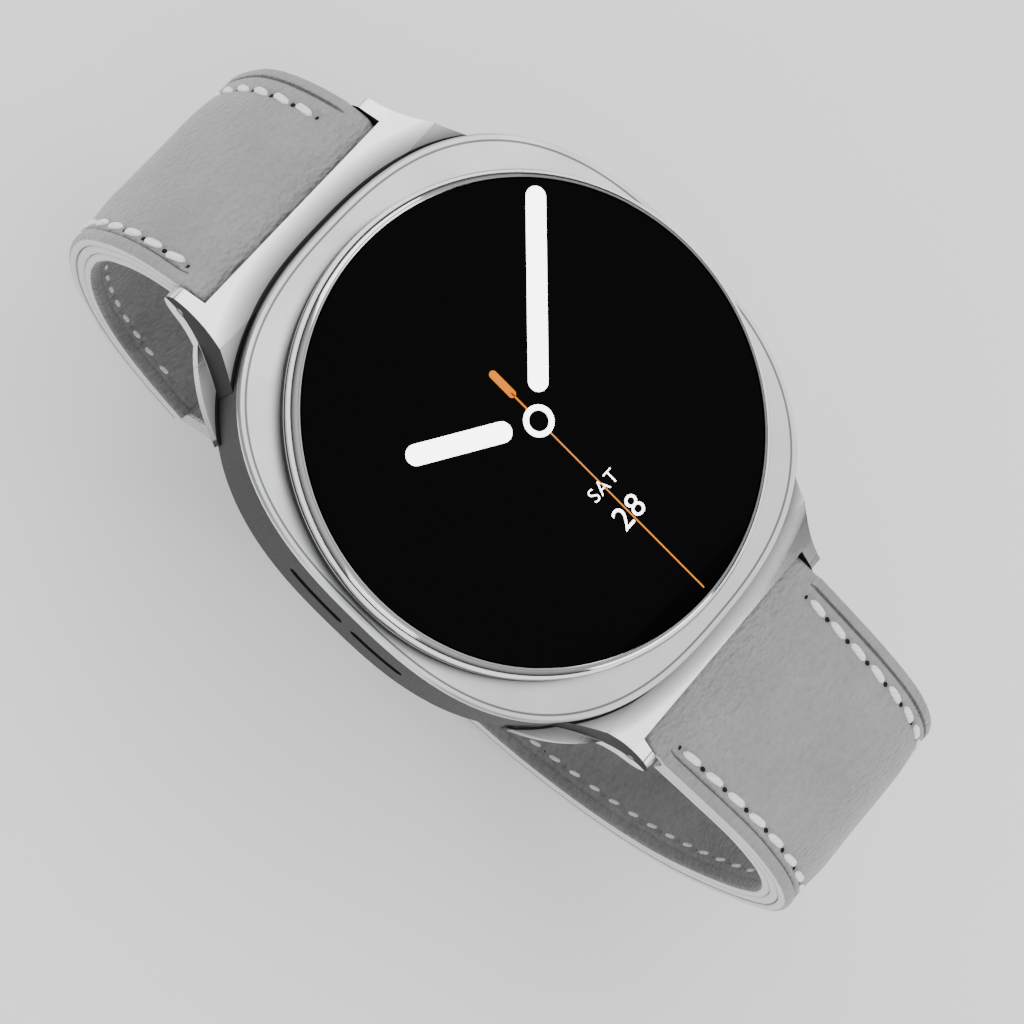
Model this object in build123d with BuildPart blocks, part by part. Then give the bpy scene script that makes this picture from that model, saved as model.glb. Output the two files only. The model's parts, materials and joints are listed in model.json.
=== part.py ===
from build123d import *
from math import cos, radians, sin
import os

# Smartwatch with a closed leather strap, in millimetres.
# X points to 3 o'clock, Y to 12 o'clock and Z out of the display.
# The origin is the centre of the flat sensor window on the back of the case.

os.makedirs("parts", exist_ok=True)

# ---- case outline: a superellipse |x/a|^n + |y/b|^n = 1 ----
CASE_HALF_WIDTH = 21.6
CASE_HALF_LENGTH = 23.0
CASE_POWER = 2.57
OUTLINE_POINTS = 48
LOWER_RIM_ROUND = 0.5
PLATE_BEVEL = 0.2

# ---- heights in the case ----
CASE_BOTTOM = 1.0
SIDE_TOP = 7.8
PLATE_TOP = 8.3
GLASS_TOP = 11.1
GLASS_THICKNESS = 0.65
PANEL_THICKNESS = 0.85
BORE_RADIUS = 18.4
BORE_FLOOR = 2.0

# ---- bezel ring ----
RING_OUTER_RADIUS = 20.75
RING_INNER_RADIUS = 19.9
RING_SPIGOT_RADIUS = 20.4
RING_LEDGE_RADIUS = 18.9
RING_ROUND = 0.85
RING_FOOT = 8.5
RING_CROWN_RADIUS = 1.4
GLASS_BEVEL = 0.12
PANEL_INSET = 0.2
GASKET_THICKNESS = 0.25

# ---- back of the case ----
REAR_RECESS_RADIUS = 17.9
REAR_FLANGE_TOP = 1.6
REAR_SPIGOT_RADIUS = 15.85
REAR_CAVITY_RADIUS = 14.2
REAR_SKIN = 0.8
WINDOW_RADIUS = 6.0
REAR_GASKET_OUTER = 17.15
REAR_GASKET_INNER = 16.45
ELECTRODE_OUTER = 9.9
ELECTRODE_INNER = 7.3
ELECTRODE_GAP = 3.0
ELECTRODE_DEPTH = 0.3
COIL_BOTTOM = REAR_SKIN + 0.05
COIL_THICKNESS = 0.4
COIL_OUTER = 13.4
COIL_INNER = 8.2
FERRITE_THICKNESS = 0.25
FERRITE_OUTER = 14.0
FERRITE_INNER = 7.9
SENSOR_BOARD_BOTTOM = 1.8
SENSOR_BOARD_THICKNESS = 0.4
SENSOR_BOARD_RADIUS = 7.4

# ---- electronics ----
BOARD_BOTTOM = 6.3
BOARD_TOP = 6.9
BATTERY_BOTTOM = 2.6
BATTERY_TOP = 5.8
BATTERY_RADIUS = 13.4
BATTERY_FLAT_X = 10.2
FRAME_RADIUS = 18.2
SCREW_CIRCLE = 16.4
SCREW_COUNT = 4
SCREW_START = 45
SCREW_RADIUS = 0.43
SCREW_LENGTH = 2.2
SCREW_HEAD_RADIUS = 0.95
SCREW_HEAD_HEIGHT = 0.5
SCREW_SLOT = 0.25
BOARD_RADIUS = 17.8
CHIP_HEIGHT = 0.9
CAN_CENTRE = (-0.2, 3.8)
CAN_SIZE = (19.4, 10.8)
CAN_WALL = 0.2
CAN_HEIGHT = 1.4
RIBBON_Y = -17.2
RIBBON_THICKNESS = 0.12
RIBBON_HALF_WIDTH = 3.6
FRAME_BOTTOM = BORE_FLOOR + 0.4
MICROPHONE_SPOT = (-8.6, -14.3)
MICROPHONE_HEIGHT = 1.2
PANEL_BOTTOM = GLASS_TOP - GLASS_THICKNESS - PANEL_THICKNESS

# ---- chips on the board: centre x, centre y, width, length ----
CHIPS = (
    (-4.5, 3.5, 8.4, 8.4),
    (5.2, 4.2, 6.2, 6.8),
    (-10.8, -6.0, 3.2, 4.6),
    (9.6, -7.4, 4.2, 3.4),
    (1.0, -9.5, 3.0, 2.4),
)

# ---- fits ----
TIGHT = 0.02
SLIP = 0.05
PLAY = 0.1

# ---- side buttons ----
BUTTON_Y = 8.2
BUTTON_Z = 4.6
BUTTON_LENGTH = 7.8
BUTTON_HEIGHT = 2.6
BUTTON_PROUD = 0.55
BUTTON_TRAVEL = 0.4
BUTTON_SHAFT_RADIUS = 0.8
BUTTON_FLOOR_X = 18.9
BUTTON_SHAFT_END_X = 14.8
BUTTON_SEAL_X = 17.7
SEAL_RADIUS = 1.38
SEAL_THICKNESS = 0.48
SWITCH_X = 13.1
SWITCH_DEPTH = 0.8
CLIP_GROOVE_X = BUTTON_SHAFT_END_X + 0.3
CLIP_GROOVE_RADIUS = 0.55
CLIP_GROOVE_WIDTH = 0.3

# ---- speaker slots in the 9 o'clock wall: centre along Y, length ----
SPEAKER_SLOTS = ((2.85, 6.0), (-3.9, 5.5))
SPEAKER_SLOT_HEIGHT = 0.9
SPEAKER_Z = 4.5
MESH_X = -19.35
MESH_LENGTH = 14.0
MESH_HEIGHT = 1.6
MESH_THICKNESS = 0.2

# ---- spring bars ----
BAR_TUBE_RADIUS = 0.75
BAR_BORE_RADIUS = 0.45
BAR_PIN_RADIUS = 0.4
RELEASE_TRAVEL = 1.2
RELEASE_X = -6.5
RELEASE_PIN_END = -5.3
CASE_BAR_Y = 20.6
CASE_BAR_Z = 3.8
CASE_BAR_HALF = 9.7
CASE_BAR_REACH = 11.2
CASE_KNOB_LENGTH = 2.9
STRAP_BAR_Y = 26.1
STRAP_BAR_Z = 2.5
STRAP_BAR_HALF = 10.2
STRAP_BAR_REACH = 11.7
STRAP_KNOB_LENGTH = 2.2
SPRING_LENGTH = 5.4
SPRING_PITCH = 0.45
SPRING_RADIUS = 0.28
SPRING_WIRE_RADIUS = 0.125
SPRING_WIRE_SIDES = 8

# ---- metal connectors between case and strap ----
RECESS_HALF_WIDTH = 10.0
RECESS_Y = 19.6
RECESS_TOP = 6.6
CONNECTOR_CREASE = (22.1, 7.08)
CONNECTOR_LIP = (25.3, 4.9)
EAR_RADIUS = 1.7
EAR_INNER_X = 10.8
EAR_OUTER_X = 12.0
SKIRT_HEIGHT = 1.4
SKIRT_INNER_X = 9
CONNECTOR_BACK_Y = 17.5
CONNECTOR_NOSE = (27.25, 3.77)

# ---- plan outlines of a connector, one side: x, distance from the case centre ----
CONNECTOR_FLARE = ((15.9, CONNECTOR_BACK_Y), (14.64, 19.58), (13.3, 22.07), (12.2, 25.2), (EAR_OUTER_X, 28.2))
SKIRT_EDGE = ((17.6, 16.5), (16.1, 19.5), (14.5, 21.7), (12.5, 23.6))

# ---- leather strap ----
LOOP_RADIUS = 1.62
STRAP_THICKNESS_AT_BAR = 3.2
STRAP_THICKNESS_AT_CLASP = 2.7
OUTER_SHARE = 0.36
PADDING_SHARE = 0.68
STRAP_SAMPLES = 14
NOTCH_HALF_WIDTH = 10.55
NOTCH_END_Y = 27.9
UPPER_EAR_HALF_WIDTH = 10.75
LOWER_EAR_HALF_WIDTH = 10.8
STRAP_BLOCK_HALF_WIDTH = 12
STRAP_FLOOR = -45

# ---- half width of the strap against height, seen from the end ----
STRAP_TAPER = ((11.3, 8), (10.9, 1), (10.35, -7), (10.1, -16), (9.8, -30), (9.75, STRAP_FLOOR))

# ---- magnetic clasp ----
CLASP_UNDERSIDE = -34.1
CLASP_SEAM_Y = 4.0
CLASP_GAP = 0.2
CLASP_THICKNESS = 3.4
CLASP_END_HALF_WIDTH = 10.1
CLASP_WAIST_HALF_WIDTH = 8.3
CLASP_PROUD = 0.35
CLASP_OUTER_BEVEL = 0.5
CLASP_INNER_BEVEL = 0.2
TAB_LENGTH = 4.2
UPPER_CLASP_LENGTH = 14.7
LOWER_CLASP_LENGTH = 19.0
UPPER_CLASP_RISE = 14.0
LINER_THICKNESS = 0.6
LINER_HALF_WIDTH = 7.3
MAGNET_LENGTH = 4.6
SCREW_X = 4.2
SEAM_WALL = 1.4
END_WALL = 0.8
MAGNET_FLOOR = 0.8
MAGNET_HALF_WIDTH = 6.5
MAGNET_GAP = 0.3
TAB_HALF_WIDTH = 7.5
CLASP_SCREW_FLOOR = 0.8
CLASP_SCREW_RADIUS = 0.5
CLASP_HEAD_RADIUS = 0.9


def superellipse(grow):
    """Points round the case outline, with both half axes grown by the same amount."""
    a = CASE_HALF_WIDTH + grow
    b = CASE_HALF_LENGTH + grow
    points = []
    for step in range(OUTLINE_POINTS):
        angle = radians(360 * step / OUTLINE_POINTS)
        c = cos(angle)
        s = sin(angle)
        radius = (abs(c / a) ** CASE_POWER + abs(s / b) ** CASE_POWER) ** (-1 / CASE_POWER)
        points.append((radius * c, radius * s))
    return points


def save(builder, name):
    """Label a finished piece and write its STEP file."""
    builder.part.label = name
    export_step(builder.part, f"parts/{name}.step")


# =====================================================================
# Case
# =====================================================================

with BuildPart() as case_body:
    with BuildSketch(Plane.XY.offset(CASE_BOTTOM)):
        with BuildLine():
            Spline(*superellipse(0), periodic=True)
        make_face()
    extrude(amount=SIDE_TOP - CASE_BOTTOM)
    lower_rim = case_body.edges().group_by(Axis.Z)[0]
    fillet(lower_rim, radius=LOWER_RIM_ROUND)
    # bore for the electronics, opening for the back and its recess
    with BuildSketch(Plane.XY.offset(BORE_FLOOR)):
        Circle(BORE_RADIUS)
    extrude(amount=SIDE_TOP - BORE_FLOOR, mode=Mode.SUBTRACT)
    with BuildSketch(Plane.XY.offset(CASE_BOTTOM)):
        Circle(REAR_SPIGOT_RADIUS + SLIP)
    extrude(amount=BORE_FLOOR - CASE_BOTTOM, mode=Mode.SUBTRACT)
    with BuildSketch(Plane.XY.offset(CASE_BOTTOM)):
        Circle(REAR_RECESS_RADIUS)
    extrude(amount=REAR_FLANGE_TOP - CASE_BOTTOM, mode=Mode.SUBTRACT)
    # groove that holds the back gasket
    with BuildSketch(Plane.XY.offset(REAR_FLANGE_TOP)):
        Circle(REAR_GASKET_OUTER + SLIP)
        Circle(REAR_GASKET_INNER - SLIP, mode=Mode.SUBTRACT)
    extrude(amount=GASKET_THICKNESS, mode=Mode.SUBTRACT)
    # recesses at 12 and 6 o'clock for the connectors, with spring bar holes
    recess_depth = CASE_HALF_LENGTH + 1 - RECESS_Y
    recess_height = RECESS_TOP - CASE_BOTTOM
    for side in (1, -1):
        with BuildSketch(Plane.XY.offset(CASE_BOTTOM)):
            with Locations((0, side * (RECESS_Y + recess_depth / 2))):
                Rectangle(2 * RECESS_HALF_WIDTH, recess_depth)
        extrude(amount=recess_height, mode=Mode.SUBTRACT)
    with BuildSketch(Plane.YZ):
        with Locations((CASE_BAR_Y, CASE_BAR_Z), (-CASE_BAR_Y, CASE_BAR_Z)):
            Circle(BAR_BORE_RADIUS)
    extrude(amount=CASE_BAR_REACH + PLAY, both=True, mode=Mode.SUBTRACT)
    # speaker slots, and the pocket behind them for the mesh
    with BuildSketch(Plane.YZ.offset(-CASE_HALF_WIDTH - 1)):
        for centre, length in SPEAKER_SLOTS:
            with Locations((centre, SPEAKER_Z)):
                SlotOverall(length, SPEAKER_SLOT_HEIGHT)
    extrude(amount=4, mode=Mode.SUBTRACT)
    with BuildSketch(Plane.YZ.offset(MESH_X - SLIP)):
        with Locations((0, SPEAKER_Z)):
            Rectangle(MESH_LENGTH + 4 * PLAY, MESH_HEIGHT + 2 * PLAY)
    extrude(amount=3, mode=Mode.SUBTRACT)
    # pockets and shaft holes for the buttons
    with BuildSketch(Plane.YZ.offset(BUTTON_FLOOR_X)):
        with Locations((BUTTON_Y, BUTTON_Z), (-BUTTON_Y, BUTTON_Z)):
            SlotOverall(BUTTON_LENGTH + 2 * PLAY, BUTTON_HEIGHT + 2 * PLAY)
    extrude(amount=5, mode=Mode.SUBTRACT)
    with BuildSketch(Plane.YZ.offset(14)):
        with Locations((BUTTON_Y, BUTTON_Z), (-BUTTON_Y, BUTTON_Z)):
            Circle(BUTTON_SHAFT_RADIUS + SLIP)
    extrude(amount=6, mode=Mode.SUBTRACT)
    # O-ring grooves round the shaft holes
    with BuildSketch(Plane.YZ.offset(BUTTON_SEAL_X)):
        with Locations((BUTTON_Y, BUTTON_Z), (-BUTTON_Y, BUTTON_Z)):
            Circle(SEAL_RADIUS + TIGHT)
    extrude(amount=SEAL_THICKNESS + TIGHT, mode=Mode.SUBTRACT)
save(case_body, "case_body")

with BuildPart() as top_plate:
    with BuildSketch(Plane.XY.offset(SIDE_TOP)):
        with BuildLine():
            Spline(*superellipse(0), periodic=True)
        make_face()
        Circle(RING_SPIGOT_RADIUS + SLIP, mode=Mode.SUBTRACT)
    extrude(amount=PLATE_TOP - SIDE_TOP)
    plate_rim = top_plate.edges().group_by(Axis.Z)[-1].sort_by(SortBy.LENGTH)[-1]
    chamfer(plate_rim, length=PLATE_BEVEL)
save(top_plate, "top_plate")

with BuildPart() as bezel_ring:
    ledge_z = GLASS_TOP - GLASS_THICKNESS - GASKET_THICKNESS
    with BuildSketch(Plane.XZ):
        with BuildLine():
            Polyline(
                (RING_INNER_RADIUS, GLASS_TOP),
                (RING_INNER_RADIUS, ledge_z),
                (RING_LEDGE_RADIUS, ledge_z),
                (RING_LEDGE_RADIUS, SIDE_TOP),
                (RING_SPIGOT_RADIUS, SIDE_TOP),
                (RING_SPIGOT_RADIUS, RING_FOOT),
                (RING_OUTER_RADIUS, RING_FOOT),
                (RING_OUTER_RADIUS, GLASS_TOP - RING_ROUND),
            )
            RadiusArc(
                (RING_OUTER_RADIUS, GLASS_TOP - RING_ROUND),
                (RING_INNER_RADIUS, GLASS_TOP),
                -RING_CROWN_RADIUS,
            )
        make_face()
    revolve(axis=Axis.Z)
save(bezel_ring, "bezel_ring")

with BuildPart() as cover_glass:
    with BuildSketch(Plane.XY.offset(GLASS_TOP - GLASS_THICKNESS)):
        Circle(RING_INNER_RADIUS - SLIP)
    extrude(amount=GLASS_THICKNESS)
    chamfer(cover_glass.edges().group_by(Axis.Z)[-1], length=GLASS_BEVEL)
save(cover_glass, "cover_glass")

with BuildPart() as display_panel:
    with BuildSketch(Plane.XY.offset(PANEL_BOTTOM)):
        Circle(RING_LEDGE_RADIUS - PANEL_INSET)
    extrude(amount=PANEL_THICKNESS)
save(display_panel, "display_panel")

with BuildPart() as display_gasket:
    with BuildSketch(Plane.XY.offset(GLASS_TOP - GLASS_THICKNESS - GASKET_THICKNESS)):
        Circle(RING_INNER_RADIUS - SLIP)
        Circle(RING_LEDGE_RADIUS + SLIP, mode=Mode.SUBTRACT)
    extrude(amount=GASKET_THICKNESS)
save(display_gasket, "display_gasket")

# =====================================================================
# Inside the case
# =====================================================================

with BuildPart() as main_board:
    with BuildSketch(Plane.XY.offset(BOARD_BOTTOM)):
        Circle(BOARD_RADIUS)
        with PolarLocations(SCREW_CIRCLE, SCREW_COUNT, start_angle=SCREW_START):
            Circle(SCREW_RADIUS + 0.22, mode=Mode.SUBTRACT)
        with Locations((0, RIBBON_Y - 0.4)):
            Rectangle(2 * RIBBON_HALF_WIDTH + 1.4, 2.2, mode=Mode.SUBTRACT)
    extrude(amount=BOARD_TOP - BOARD_BOTTOM)
save(main_board, "main_board")

with BuildPart() as board_chips:
    with BuildSketch(Plane.XY.offset(BOARD_TOP)):
        for x, y, width, length in CHIPS:
            with Locations((x, y)):
                Rectangle(width, length)
    extrude(amount=CHIP_HEIGHT)
save(board_chips, "board_chips")

with BuildPart() as shield_can:
    with BuildSketch(Plane.XY.offset(BOARD_TOP)):
        with Locations(CAN_CENTRE):
            RectangleRounded(*CAN_SIZE, 0.8)
    extrude(amount=CAN_HEIGHT)
    with BuildSketch(Plane.XY.offset(BOARD_TOP)):
        with Locations(CAN_CENTRE):
            RectangleRounded(CAN_SIZE[0] - 2 * CAN_WALL, CAN_SIZE[1] - 2 * CAN_WALL, 0.6)
    extrude(amount=CAN_HEIGHT - CAN_WALL, mode=Mode.SUBTRACT)
save(shield_can, "shield_can")

with BuildPart() as display_flex:
    # ribbon from the underside of the panel, down through the notch and under the board
    with BuildSketch(Plane.YZ):
        with BuildLine():
            ribbon = FilletPolyline(
                (-12.0, PANEL_BOTTOM - RIBBON_THICKNESS),
                (RIBBON_Y, PANEL_BOTTOM - RIBBON_THICKNESS),
                (RIBBON_Y, BOARD_BOTTOM - RIBBON_THICKNESS - TIGHT),
                (-14.6, BOARD_BOTTOM - RIBBON_THICKNESS - TIGHT),
                radius=0.8,
            )
            offset(ribbon, amount=RIBBON_THICKNESS, side=Side.LEFT)
        make_face()
    extrude(amount=RIBBON_HALF_WIDTH, both=True)
save(display_flex, "display_flex")

with BuildPart() as battery:
    with BuildSketch(Plane.XY.offset(BATTERY_BOTTOM)):
        Circle(BATTERY_RADIUS)
        with Locations((BATTERY_FLAT_X + 5, 0)):
            Rectangle(10, 30, mode=Mode.SUBTRACT)
    extrude(amount=BATTERY_TOP - BATTERY_BOTTOM)
    fillet(battery.edges().filter_by(GeomType.CIRCLE), radius=0.5)
save(battery, "battery")

with BuildPart() as inner_frame:
    with BuildSketch(Plane.XY.offset(FRAME_BOTTOM)):
        Circle(FRAME_RADIUS)
    extrude(amount=BOARD_BOTTOM - FRAME_BOTTOM)
    # battery bay and the hollow over it
    with BuildSketch(Plane.XY):
        Circle(BATTERY_RADIUS + 0.2)
        with Locations((BATTERY_FLAT_X + 5.2, 0)):
            Rectangle(10, 30, mode=Mode.SUBTRACT)
    extrude(amount=BOARD_BOTTOM, mode=Mode.SUBTRACT)
    # bays for speaker, vibration motor, switches, microphone, ribbon and shaft ends
    with BuildSketch(Plane.XY):
        with Locations((-15.9, 0)):
            Rectangle(6.0, 14.6)
        with Locations((0, 15.1)):
            Rectangle(8.6, 4.4)
        with Locations((14.8, BUTTON_Y), (14.8, -BUTTON_Y)):
            Rectangle(6.0, 3.8)
        with Locations(MICROPHONE_SPOT):
            Rectangle(3.4, 2.8)
        with Locations((0, -16.6)):
            Rectangle(7.6, 5.0)
    extrude(amount=BOARD_BOTTOM, mode=Mode.SUBTRACT)
    with BuildSketch(Plane.XY.offset(BOARD_BOTTOM - SCREW_LENGTH - 0.2)):
        with PolarLocations(SCREW_CIRCLE, SCREW_COUNT, start_angle=SCREW_START):
            Circle(SCREW_RADIUS + TIGHT)
    extrude(amount=SCREW_LENGTH + 0.2, mode=Mode.SUBTRACT)
save(inner_frame, "inner_frame")

with BuildPart() as frame_screws:
    for corner in range(SCREW_COUNT):
        heading = radians(SCREW_START + 360 / SCREW_COUNT * corner)
        spot = (SCREW_CIRCLE * cos(heading), SCREW_CIRCLE * sin(heading))
        with BuildSketch(Plane.XY.offset(BOARD_BOTTOM - SCREW_LENGTH)):
            with Locations(spot):
                Circle(SCREW_RADIUS)
        extrude(amount=BOARD_TOP - BOARD_BOTTOM + SCREW_LENGTH)
        with BuildSketch(Plane.XY.offset(BOARD_TOP)):
            with Locations(spot):
                Circle(SCREW_HEAD_RADIUS)
        extrude(amount=SCREW_HEAD_HEIGHT)
        with BuildSketch(Plane.XY.offset(BOARD_TOP + SCREW_SLOT)):
            with Locations(spot):
                Rectangle(1.1, SCREW_SLOT)
                Rectangle(SCREW_SLOT, 1.1)
        extrude(amount=0.3, mode=Mode.SUBTRACT)
save(frame_screws, "frame_screws")

with BuildPart() as haptic_motor:
    with BuildSketch(Plane.XY.offset(BATTERY_BOTTOM)):
        with Locations((0, 15.45)):
            RectangleRounded(8.0, 3.2, 0.8)
    extrude(amount=3.0)
save(haptic_motor, "haptic_motor")

with BuildPart() as speaker_module:
    with BuildSketch(Plane.XY.offset(BATTERY_BOTTOM)):
        with Locations((-15.6, 0)):
            RectangleRounded(3.2, 12.4, 0.5)
    extrude(amount=3.4)
    with BuildSketch(Plane.YZ.offset(-19.05)):
        with Locations((0, SPEAKER_Z)):
            Rectangle(12.0, 1.3)
    extrude(amount=3)
save(speaker_module, "speaker_module")

with BuildPart() as speaker_mesh:
    with BuildSketch(Plane.YZ.offset(MESH_X)):
        with Locations((0, SPEAKER_Z)):
            Rectangle(MESH_LENGTH, MESH_HEIGHT)
        with Locations((-0.5, SPEAKER_Z)):
            with GridLocations(0.5, 0.4, 25, 2):
                Circle(0.12, mode=Mode.SUBTRACT)
    extrude(amount=MESH_THICKNESS)
save(speaker_mesh, "speaker_mesh")

with BuildPart() as microphone:
    with BuildSketch(Plane.XY.offset(BOARD_BOTTOM - MICROPHONE_HEIGHT)):
        with Locations(MICROPHONE_SPOT):
            Rectangle(3.0, 2.2)
    extrude(amount=MICROPHONE_HEIGHT)
save(microphone, "microphone")

with BuildPart() as button_switches:
    for side in (1, -1):
        with BuildSketch(Plane.YZ.offset(SWITCH_X)):
            with Locations((side * BUTTON_Y, BUTTON_Z)):
                Rectangle(3.2, 2.4)
        extrude(amount=SWITCH_DEPTH)
        with BuildSketch(Plane.YZ.offset(SWITCH_X + SWITCH_DEPTH)):
            with Locations((side * BUTTON_Y, BUTTON_Z)):
                Circle(0.8)
        extrude(amount=BUTTON_SHAFT_END_X - BUTTON_TRAVEL - SLIP - SWITCH_X - SWITCH_DEPTH)
save(button_switches, "button_switches")

with BuildPart() as button_seals:
    for side in (1, -1):
        with BuildSketch(Plane.YZ.offset(BUTTON_SEAL_X)):
            with Locations((side * BUTTON_Y, BUTTON_Z)):
                Circle(SEAL_RADIUS)
                Circle(BUTTON_SHAFT_RADIUS + TIGHT, mode=Mode.SUBTRACT)
        extrude(amount=SEAL_THICKNESS)
save(button_seals, "button_seals")

# =====================================================================
# Back of the case
# =====================================================================

with BuildPart() as rear_cover:
    with BuildSketch(Plane.XZ):
        with BuildLine():
            Line((WINDOW_RADIUS + SLIP, 0), (10.6, 0))
            ThreePointArc((10.6, 0), (13.9, 0.24), (16.9, CASE_BOTTOM - 0.05))
            Polyline(
                (16.9, CASE_BOTTOM - 0.05),
                (REAR_RECESS_RADIUS - SLIP, CASE_BOTTOM),
                (REAR_RECESS_RADIUS - SLIP, REAR_FLANGE_TOP),
                (REAR_SPIGOT_RADIUS, REAR_FLANGE_TOP),
                (REAR_SPIGOT_RADIUS, BORE_FLOOR + 0.2),
                (REAR_CAVITY_RADIUS, BORE_FLOOR + 0.2),
                (REAR_CAVITY_RADIUS, REAR_SKIN),
                (WINDOW_RADIUS + SLIP, REAR_SKIN),
                (WINDOW_RADIUS + SLIP, 0),
            )
        make_face()
    revolve(axis=Axis.Z)
    # two arc-shaped pockets for the electrodes
    with BuildSketch(Plane.XY):
        Circle(ELECTRODE_OUTER)
        Circle(ELECTRODE_INNER, mode=Mode.SUBTRACT)
        Rectangle(ELECTRODE_GAP, 24, mode=Mode.SUBTRACT)
    extrude(amount=ELECTRODE_DEPTH, mode=Mode.SUBTRACT)
save(rear_cover, "rear_cover")

with BuildPart() as rear_electrodes:
    with BuildSketch(Plane.XY):
        Circle(ELECTRODE_OUTER - SLIP)
        Circle(ELECTRODE_INNER + SLIP, mode=Mode.SUBTRACT)
        Rectangle(ELECTRODE_GAP + 2 * SLIP, 24, mode=Mode.SUBTRACT)
    extrude(amount=ELECTRODE_DEPTH)
save(rear_electrodes, "rear_electrodes")

with BuildPart() as sensor_window:
    with BuildSketch(Plane.XY):
        Circle(WINDOW_RADIUS)
    extrude(amount=REAR_SKIN)
save(sensor_window, "sensor_window")

with BuildPart() as rear_gasket:
    with BuildSketch(Plane.XY.offset(REAR_FLANGE_TOP)):
        Circle(REAR_GASKET_OUTER)
        Circle(REAR_GASKET_INNER, mode=Mode.SUBTRACT)
    extrude(amount=GASKET_THICKNESS)
save(rear_gasket, "rear_gasket")

with BuildPart() as charging_coil:
    with BuildSketch(Plane.XY.offset(COIL_BOTTOM)):
        Circle(COIL_OUTER)
        Circle(COIL_INNER, mode=Mode.SUBTRACT)
    extrude(amount=COIL_THICKNESS)
save(charging_coil, "charging_coil")

with BuildPart() as ferrite_sheet:
    with BuildSketch(Plane.XY.offset(COIL_BOTTOM + COIL_THICKNESS)):
        Circle(FERRITE_OUTER)
        Circle(FERRITE_INNER, mode=Mode.SUBTRACT)
    extrude(amount=FERRITE_THICKNESS)
save(ferrite_sheet, "ferrite_sheet")

with BuildPart() as sensor_board:
    with BuildSketch(Plane.XY.offset(SENSOR_BOARD_BOTTOM)):
        Circle(SENSOR_BOARD_RADIUS)
    extrude(amount=SENSOR_BOARD_THICKNESS)
save(sensor_board, "sensor_board")

with BuildPart() as sensor_emitters:
    with BuildSketch(Plane.XY.offset(REAR_SKIN)):
        Rectangle(2.0, 2.0)
        with PolarLocations(3.9, 4, start_angle=45):
            Rectangle(1.8, 1.8)
        with PolarLocations(4.0, 4):
            Rectangle(1.0, 1.4)
    extrude(amount=SENSOR_BOARD_BOTTOM - REAR_SKIN)
save(sensor_emitters, "sensor_emitters")

# =====================================================================
# Side buttons
# =====================================================================


def make_button(y):
    """A pill-shaped cap that follows the case wall, with its shaft."""
    cap_back = BUTTON_FLOOR_X + BUTTON_TRAVEL + 0.15
    with BuildPart() as button:
        with BuildSketch(Plane.YZ.offset(cap_back)):
            with Locations((y, BUTTON_Z)):
                SlotOverall(BUTTON_LENGTH, BUTTON_HEIGHT)
        extrude(amount=5)
        with BuildSketch(Plane.XY):
            with BuildLine():
                Spline(*superellipse(BUTTON_PROUD), periodic=True)
            make_face()
        extrude(amount=10, mode=Mode.INTERSECT)
        fillet(button.faces().sort_by(Axis.X)[-1].edges(), radius=0.25)
        with BuildSketch(Plane.YZ.offset(BUTTON_SHAFT_END_X)):
            with Locations((y, BUTTON_Z)):
                Circle(BUTTON_SHAFT_RADIUS)
        extrude(amount=cap_back - BUTTON_SHAFT_END_X + 0.1)
        # groove for the retaining clip
        with BuildSketch(Plane.YZ.offset(CLIP_GROOVE_X)):
            with Locations((y, BUTTON_Z)):
                Circle(BUTTON_SHAFT_RADIUS + PLAY)
                Circle(CLIP_GROOVE_RADIUS, mode=Mode.SUBTRACT)
        extrude(amount=CLIP_GROOVE_WIDTH, mode=Mode.SUBTRACT)
    return button


def make_button_clip(y):
    """An open ring that keeps the shaft from leaving the case."""
    with BuildPart() as clip:
        with BuildSketch(Plane.YZ.offset(CLIP_GROOVE_X + TIGHT)):
            with Locations((y, BUTTON_Z)):
                Circle(1.3)
                Circle(CLIP_GROOVE_RADIUS + TIGHT, mode=Mode.SUBTRACT)
            with Locations((y, BUTTON_Z - 1.0)):
                Rectangle(0.7, 1.6, mode=Mode.SUBTRACT)
        extrude(amount=CLIP_GROOVE_WIDTH - 2 * TIGHT)
    return clip


save(make_button(BUTTON_Y), "upper_button")
save(make_button(-BUTTON_Y), "lower_button")
save(make_button_clip(BUTTON_Y), "upper_button_clip")
save(make_button_clip(-BUTTON_Y), "lower_button_clip")

# =====================================================================
# Connectors
# =====================================================================


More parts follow.
